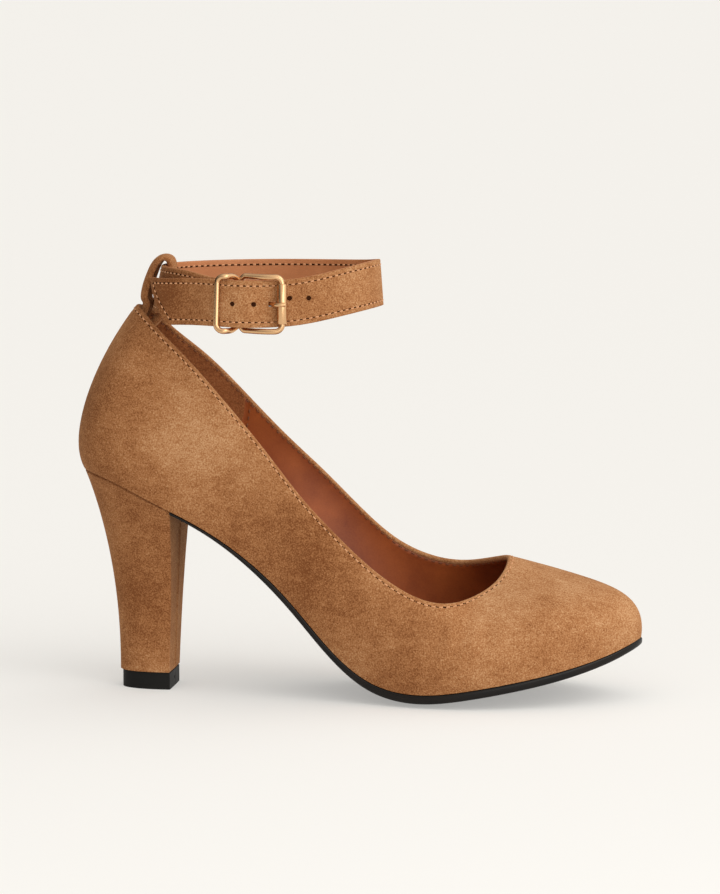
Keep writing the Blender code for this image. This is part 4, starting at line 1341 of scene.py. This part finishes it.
def make_holes(name, rows, material):
    """Needle holes at the ends of every stitch: low dark domes just proud of the leather, painted shade for
    the holes' depth.
    """
    points, faces = [], []
    sides = STITCH_SIDES
    for first, _, last, normal in rows:
        along = unit(last - first)
        side = unit(np.cross(normal, along))
        for end, way in ((first, -1.0), (last, 1.0)):
            centre = end + along * way * 0.12 * MM
            lower = centre - normal * 0.3 * MM
            upper = centre + normal * 0.07 * MM
            start = len(points)
            points.append(lower)
            for step in range(sides):
                turn = 2.0 * pi * step / sides
                points.append(centre + (along * cos(turn) + side * sin(turn)) * NEEDLE_HOLE)
            points.append(upper)
            for step in range(sides):
                a, b = start + 1 + step, start + 1 + (step + 1) % sides
                faces.append((start, b, a))
                faces.append((a, b, start + 1 + sides))
    return add_detail(mesh_from(name, points, faces), material)


def topline_rows(stations):
    outer_points, outer_normals, inner_points, inner_normals = [], [], [], []
    for station in stations + stations[:1]:
        share = station.below_top(TOPLINE_ROW)
        normal = station.outward(share)
        outer_points.append(station.at(share, TOPLINE_SINK))
        outer_normals.append(normal)
        inner_points.append(station.at(station.below_top(FOLDED_BAND + 0.6 * MM), WALL))
        inner_normals.append(-normal)
    return (stitches_along(outer_points, outer_normals, TOPLINE_PITCH, TOPLINE_STITCH),
            stitches_along(inner_points, inner_normals, TOPLINE_PITCH, TOPLINE_STITCH))


def strap_rows():
    """Stitch rows on the strap's outer face and on its lining."""
    half = STRAP_WIDTH / 2.0 - STRAP_ROW
    thick = STRAP_THICKNESS / 2.0
    outer, inner = [], []
    for up, end in ((half, ROW_TOP), (-half, ROW_BOTTOM)):
        angles = np.arange(BAR_ANGLE - 16.0, end, -0.8)
        line = [ankle_point(angle, strap_out(angle) + thick - STRAP_SINK, up) for angle in angles]
        normals = [strap_normal(angle, up) for angle in angles]
        outer += stitches_along(line, normals, STRAP_PITCH, STRAP_STITCH)
        angles = np.arange(BAR_ANGLE - 16.0, -255.0, -0.8)
        line = [ankle_point(angle, strap_out(angle) - thick, up) for angle in angles]
        normals = [-strap_normal(angle, up) for angle in angles]
        inner += stitches_along(line, normals, STRAP_PITCH, STRAP_STITCH)
    line, normals = [], []
    for step in range(21):
        share = step / 20.0
        angle = ROW_TOP + (ROW_BOTTOM - ROW_TOP) * share
        up = half * (1.0 - 2.0 * share)
        line.append(ankle_point(angle, free_out(angle) + thick - 0.03 * MM, up))
        normals.append(strap_normal(angle, up))
    outer += stitches_along(line, normals, STRAP_PITCH, STRAP_STITCH)
    return outer, inner


def strap_out(angle):
    return first_out(angle) if angle > -180.0 else free_out(angle)


def strap_normal(angle, up):
    return unit(ankle_point(angle, MM, up) - ankle_point(angle, 0.0, up))


def seam_rows():
    """Stitches beside the lining's side seam."""
    found = []
    for side in (OUTER, INNER):
        forward = 1.0 if side == OUTER else -1.0
        station = Station(place_of(SEAM_ROW, side) + forward * SEAM_STITCH_GAP)
        shares = np.linspace(station.below_top(4.0 * MM), 0.12, 40)
        line = [station.at(share, WALL) for share in shares]
        normals = [-station.outward(share) for share in shares]
        found += stitches_along(line, normals, TOPLINE_PITCH, TOPLINE_STITCH)
    return found


def new_material(name):
    """A new material with its nodes, links, shader and the place in the piece's own frame."""
    material = bpy.data.materials.new(name)
    material.use_nodes = True
    nodes, links = material.node_tree.nodes, material.node_tree.links
    place = nodes.new("ShaderNodeTexCoord").outputs["Object"]
    return material, nodes, links, nodes["Principled BSDF"], place


def add_bump(nodes, links, shader, height, strength, distance):
    bump = nodes.new("ShaderNodeBump")
    bump.inputs["Strength"].default_value = strength
    bump.inputs["Distance"].default_value = distance
    links.new(height, bump.inputs["Height"])
    links.new(bump.outputs["Normal"], shader.inputs["Normal"])


def mixed(nodes, links, factor, first, second):
    """A colour between two, by a factor socket."""
    mix = nodes.new("ShaderNodeMix")
    mix.data_type = "RGBA"
    mix.inputs[6].default_value = first
    mix.inputs[7].default_value = second
    links.new(factor, mix.inputs[0])
    return mix.outputs[2]


def noise_value(nodes, links, place, scale, detail=3.0, roughness=0.55, stretch=(1.0, 1.0, 1.0)):
    mapping = nodes.new("ShaderNodeMapping")
    mapping.inputs["Scale"].default_value = stretch
    links.new(place, mapping.inputs["Vector"])
    texture = nodes.new("ShaderNodeTexNoise")
    texture.inputs["Scale"].default_value = scale
    texture.inputs["Detail"].default_value = detail
    texture.inputs["Roughness"].default_value = roughness
    links.new(mapping.outputs["Vector"], texture.inputs["Vector"])
    return texture.outputs["Fac"]


def combined(nodes, links, terms, base=0.5):
    """base plus each value's difference from a half times its weight."""
    total = None
    offset = base - sum(weight for _, weight in terms) / 2.0
    for value, weight in terms:
        part = nodes.new("ShaderNodeMath")
        part.operation = "MULTIPLY_ADD"
        links.new(value, part.inputs[0])
        part.inputs[1].default_value = weight
        if total is None:
            part.inputs[2].default_value = offset
        else:
            links.new(total, part.inputs[2])
        total = part.outputs[0]
    return total


def with_painted_shade_and_light(nodes, links, place, tone):
    """The tone with soft spots of painted shade and painted light added, partly the nap's brushed tone."""
    for centre, reach, strength in SHADE_AND_LIGHT_SPOTS:
        away = nodes.new("ShaderNodeVectorMath")
        away.operation = "DISTANCE"
        links.new(place, away.inputs[0])
        away.inputs[1].default_value = centre
        fade = nodes.new("ShaderNodeMapRange")
        fade.interpolation_type = "SMOOTHSTEP"
        fade.inputs["From Min"].default_value = 0.0
        fade.inputs["From Max"].default_value = reach
        fade.inputs["To Min"].default_value = strength
        fade.inputs["To Max"].default_value = 0.0
        links.new(away.outputs["Value"], fade.inputs["Value"])
        added = nodes.new("ShaderNodeMath")
        links.new(tone, added.inputs[0])
        links.new(fade.outputs["Result"], added.inputs[1])
        tone = added.outputs[0]
    return tone


def napped_leather(name, colours, grain=1800.0, sheen=0.35):
    """Suede: slow patches, brushed streaks and a fine nap."""
    material, nodes, links, shader, place = new_material(name)
    patches = noise_value(nodes, links, place, 34.0, 2.0)
    clouds = noise_value(nodes, links, place, 120.0, 3.0, 0.6)
    streaks = noise_value(nodes, links, place, 420.0, 3.0, 0.6, (0.35, 1.0, 1.0))
    nap = noise_value(nodes, links, place, grain, 3.0, 0.7)
    tone = combined(nodes, links, [(patches, 0.5), (clouds, 0.3), (streaks, 0.35), (nap, 1.6)])
    # Painted shade and painted light at fixed spots, partly the nap's own brushed tone
    tone = with_painted_shade_and_light(nodes, links, place, tone)
    ramp = nodes.new("ShaderNodeValToRGB")
    ramp.color_ramp.elements[0].position = 0.12
    ramp.color_ramp.elements[0].color = colours[0]
    ramp.color_ramp.elements[1].position = 0.88
    ramp.color_ramp.elements[1].color = colours[2]
    middle = ramp.color_ramp.elements.new(0.5)
    middle.color = colours[1]
    links.new(tone, ramp.inputs[0])
    links.new(ramp.outputs[0], shader.inputs["Base Color"])
    shader.inputs["Roughness"].default_value = 0.95
    shader.inputs["Specular IOR Level"].default_value = 0.12
    shader.inputs["Sheen Weight"].default_value = sheen
    shader.inputs["Sheen Roughness"].default_value = 0.45
    shader.inputs["Sheen Tint"].default_value = colours[2]
    height = combined(nodes, links, [(nap, 1.0), (streaks, 0.5), (clouds, 0.5)])
    add_bump(nodes, links, shader, height, 0.7, NAP_DEPTH)
    return material


def smooth_leather(name, dark, pale, roughness):
    material, nodes, links, shader, place = new_material(name)
    clouds = noise_value(nodes, links, place, 60.0, 4.0)
    pores = noise_value(nodes, links, place, 1600.0, 2.0)
    links.new(mixed(nodes, links, combined(nodes, links, [(clouds, 1.4), (pores, 0.4)]), dark, pale),
              shader.inputs["Base Color"])
    shader.inputs["Roughness"].default_value = roughness
    add_bump(nodes, links, shader, pores, 0.35, PORE_DEPTH)
    return material


def plain_material(name, colour, roughness, metallic=0.0, specular=0.5):
    material = bpy.data.materials.new(name)
    material.use_nodes = True
    shader = material.node_tree.nodes["Principled BSDF"]
    shader.inputs["Base Color"].default_value = colour
    shader.inputs["Roughness"].default_value = roughness
    shader.inputs["Metallic"].default_value = metallic
    shader.inputs["Specular IOR Level"].default_value = specular
    return material


def worn_rubber(name, colour, pale, roughness):
    """Black rubber with faint moulding marks, a little lighter where it is scuffed."""
    material, nodes, links, shader, place = new_material(name)
    shader.inputs["Roughness"].default_value = roughness
    shader.inputs["Specular IOR Level"].default_value = 0.22
    scuffs = noise_value(nodes, links, place, 90.0, 5.0, 0.65, (0.4, 1.0, 2.2))
    grain = noise_value(nodes, links, place, 1500.0, 2.0)
    tone = combined(nodes, links, [(scuffs, 1.8), (grain, 0.3)], 0.3)
    links.new(mixed(nodes, links, tone, colour, pale), shader.inputs["Base Color"])
    add_bump(nodes, links, shader, grain, 0.3, GRAIN_DEPTH)
    return material


def srgb(red, green, blue):
    """A linear colour from 0 to 255 screen values."""
    linear = []
    for value in (red, green, blue):
        share = value / 255.0
        linear.append(share / 12.92 if share <= 0.04045 else ((share + 0.055) / 1.055) ** 2.4)
    return (*linear, 1.0)


def make_world():
    """A soft room, brighter ahead of the toe and above, darker behind the heel."""
    world = bpy.data.worlds.new("studio")
    bpy.context.scene.world = world
    world.use_nodes = True
    nodes, links = world.node_tree.nodes, world.node_tree.links
    background = nodes["Background"]
    place = nodes.new("ShaderNodeTexCoord").outputs["Generated"]
    facing = nodes.new("ShaderNodeVectorMath")
    facing.operation = "DOT_PRODUCT"
    facing.inputs[1].default_value = ROOM_BRIGHT_WAY
    links.new(place, facing.inputs[0])
    level = nodes.new("ShaderNodeMapRange")
    level.interpolation_type = "SMOOTHSTEP"
    level.inputs["From Min"].default_value = -0.75
    level.inputs["From Max"].default_value = 0.95
    level.inputs["To Min"].default_value = 0.0
    level.inputs["To Max"].default_value = ROOM_BRIGHT
    links.new(facing.outputs["Value"], level.inputs["Value"])
    links.new(level.outputs["Result"], background.inputs["Strength"])
    background.inputs["Color"].default_value = ROOM_COLOUR


def glowing_paper():
    """The pale floor, glowing faintly: painted light that keeps the shadows soft and light."""
    material = plain_material("paper", srgb(197, 195, 191), 0.95)
    shader = material.node_tree.nodes["Principled BSDF"]
    shader.inputs["Emission Color"].default_value = GLOW_COLOUR
    shader.inputs["Emission Strength"].default_value = GLOW
    return material


def make_studio():
    """A pale floor, soft light and the photograph's camera."""
    points = [(-8.0, -5.0, 0.0), (8.0, -5.0, 0.0), (8.0, 16.0, 0.0), (-8.0, 16.0, 0.0)]
    mesh = bpy.data.meshes.new("floor")
    mesh.from_pydata(points, [], [(0, 1, 2, 3)])
    floor = place_in_scene("floor", mesh)
    mesh.materials.append(glowing_paper())
    make_world()
    for name, kind, place, size, power in LAMPS:
        lamp = bpy.data.lights.new(name, kind)
        if kind == "SUN":
            lamp.angle = size
        else:
            lamp.size = size
        lamp.energy = power
        item = place_in_scene(name, lamp)
        item.location = place
        item.rotation_mode = "QUATERNION"
        item.rotation_quaternion = (Vector(LAMP_AIM) - Vector(place)).to_track_quat("-Z", "Y")
    camera = bpy.data.cameras.new("camera")
    camera.sensor_width = 36.0
    camera.lens = LENS
    camera.clip_end = 50.0
    item = place_in_scene("camera", camera)
    azimuth, elevation = radians(CAMERA_AZIMUTH), radians(CAMERA_ELEVATION)
    back = Vector((sin(azimuth) * cos(elevation), -cos(azimuth) * cos(elevation), sin(elevation)))
    item.location = Vector(CAMERA_AIM) + back * CAMERA_DISTANCE
    item.rotation_mode = "QUATERNION"
    item.rotation_quaternion = (-back).to_track_quat("-Z", "Y")
    bpy.context.scene.camera = item
    bpy.context.scene.view_settings.view_transform = "Standard"


def main():
    suede = napped_leather("tan_suede", (srgb(116, 67, 34), srgb(165, 112, 70), srgb(198, 154, 112)))
    grip_tones = (srgb(122, 72, 40), srgb(158, 98, 58), srgb(182, 122, 78))
    grip = napped_leather("grip_suede", grip_tones, 1500.0, 0.2)
    lining = smooth_leather("brown_lining", srgb(116, 48, 16), srgb(174, 92, 40), 0.5)
    strap_lining = smooth_leather("tan_lining", srgb(174, 106, 60), srgb(200, 132, 84), 0.55)
    sole = worn_rubber("black_sole", srgb(10, 8, 7), srgb(30, 21, 15), 0.35)
    lift = worn_rubber("black_lift", srgb(11, 10, 8), srgb(22, 20, 17), 0.6)
    gold = plain_material("gold", srgb(218, 174, 128), 0.2, 1.0)
    thread = plain_material("tan_thread", srgb(206, 150, 106), 0.75)
    dark_thread = plain_material("brown_thread", srgb(122, 74, 44), 0.8)
    # Dark brown of the needle holes and punched holes: painted shade in the holes
    hole_shade = plain_material("needle_hole_shade", srgb(60, 31, 14), 0.95, 0.0, 0.05)
    stations = round_stations()
    make_upper_suede(stations, suede)
    make_upper_lining(stations, lining, grip)
    make_insole_sock(lining)
    make_outsole(sole)
    make_heel_cover(suede)
    make_top_lift(lift)
    make_strap(suede, strap_lining)
    make_loop(suede)
    make_frame(gold)
    make_roller(gold)
    make_prong(gold)
    outer, inner = topline_rows(stations)
    strap_outer, strap_inner = strap_rows()
    make_thread("thread_rows", outer + strap_outer + strap_inner, thread)
    make_thread("inner_thread", inner + seam_rows(), dark_thread)
    make_holes("needle_holes", outer + strap_outer + strap_inner, hole_shade)
    make_punched_hole_shade(hole_shade)
    make_studio()


main()
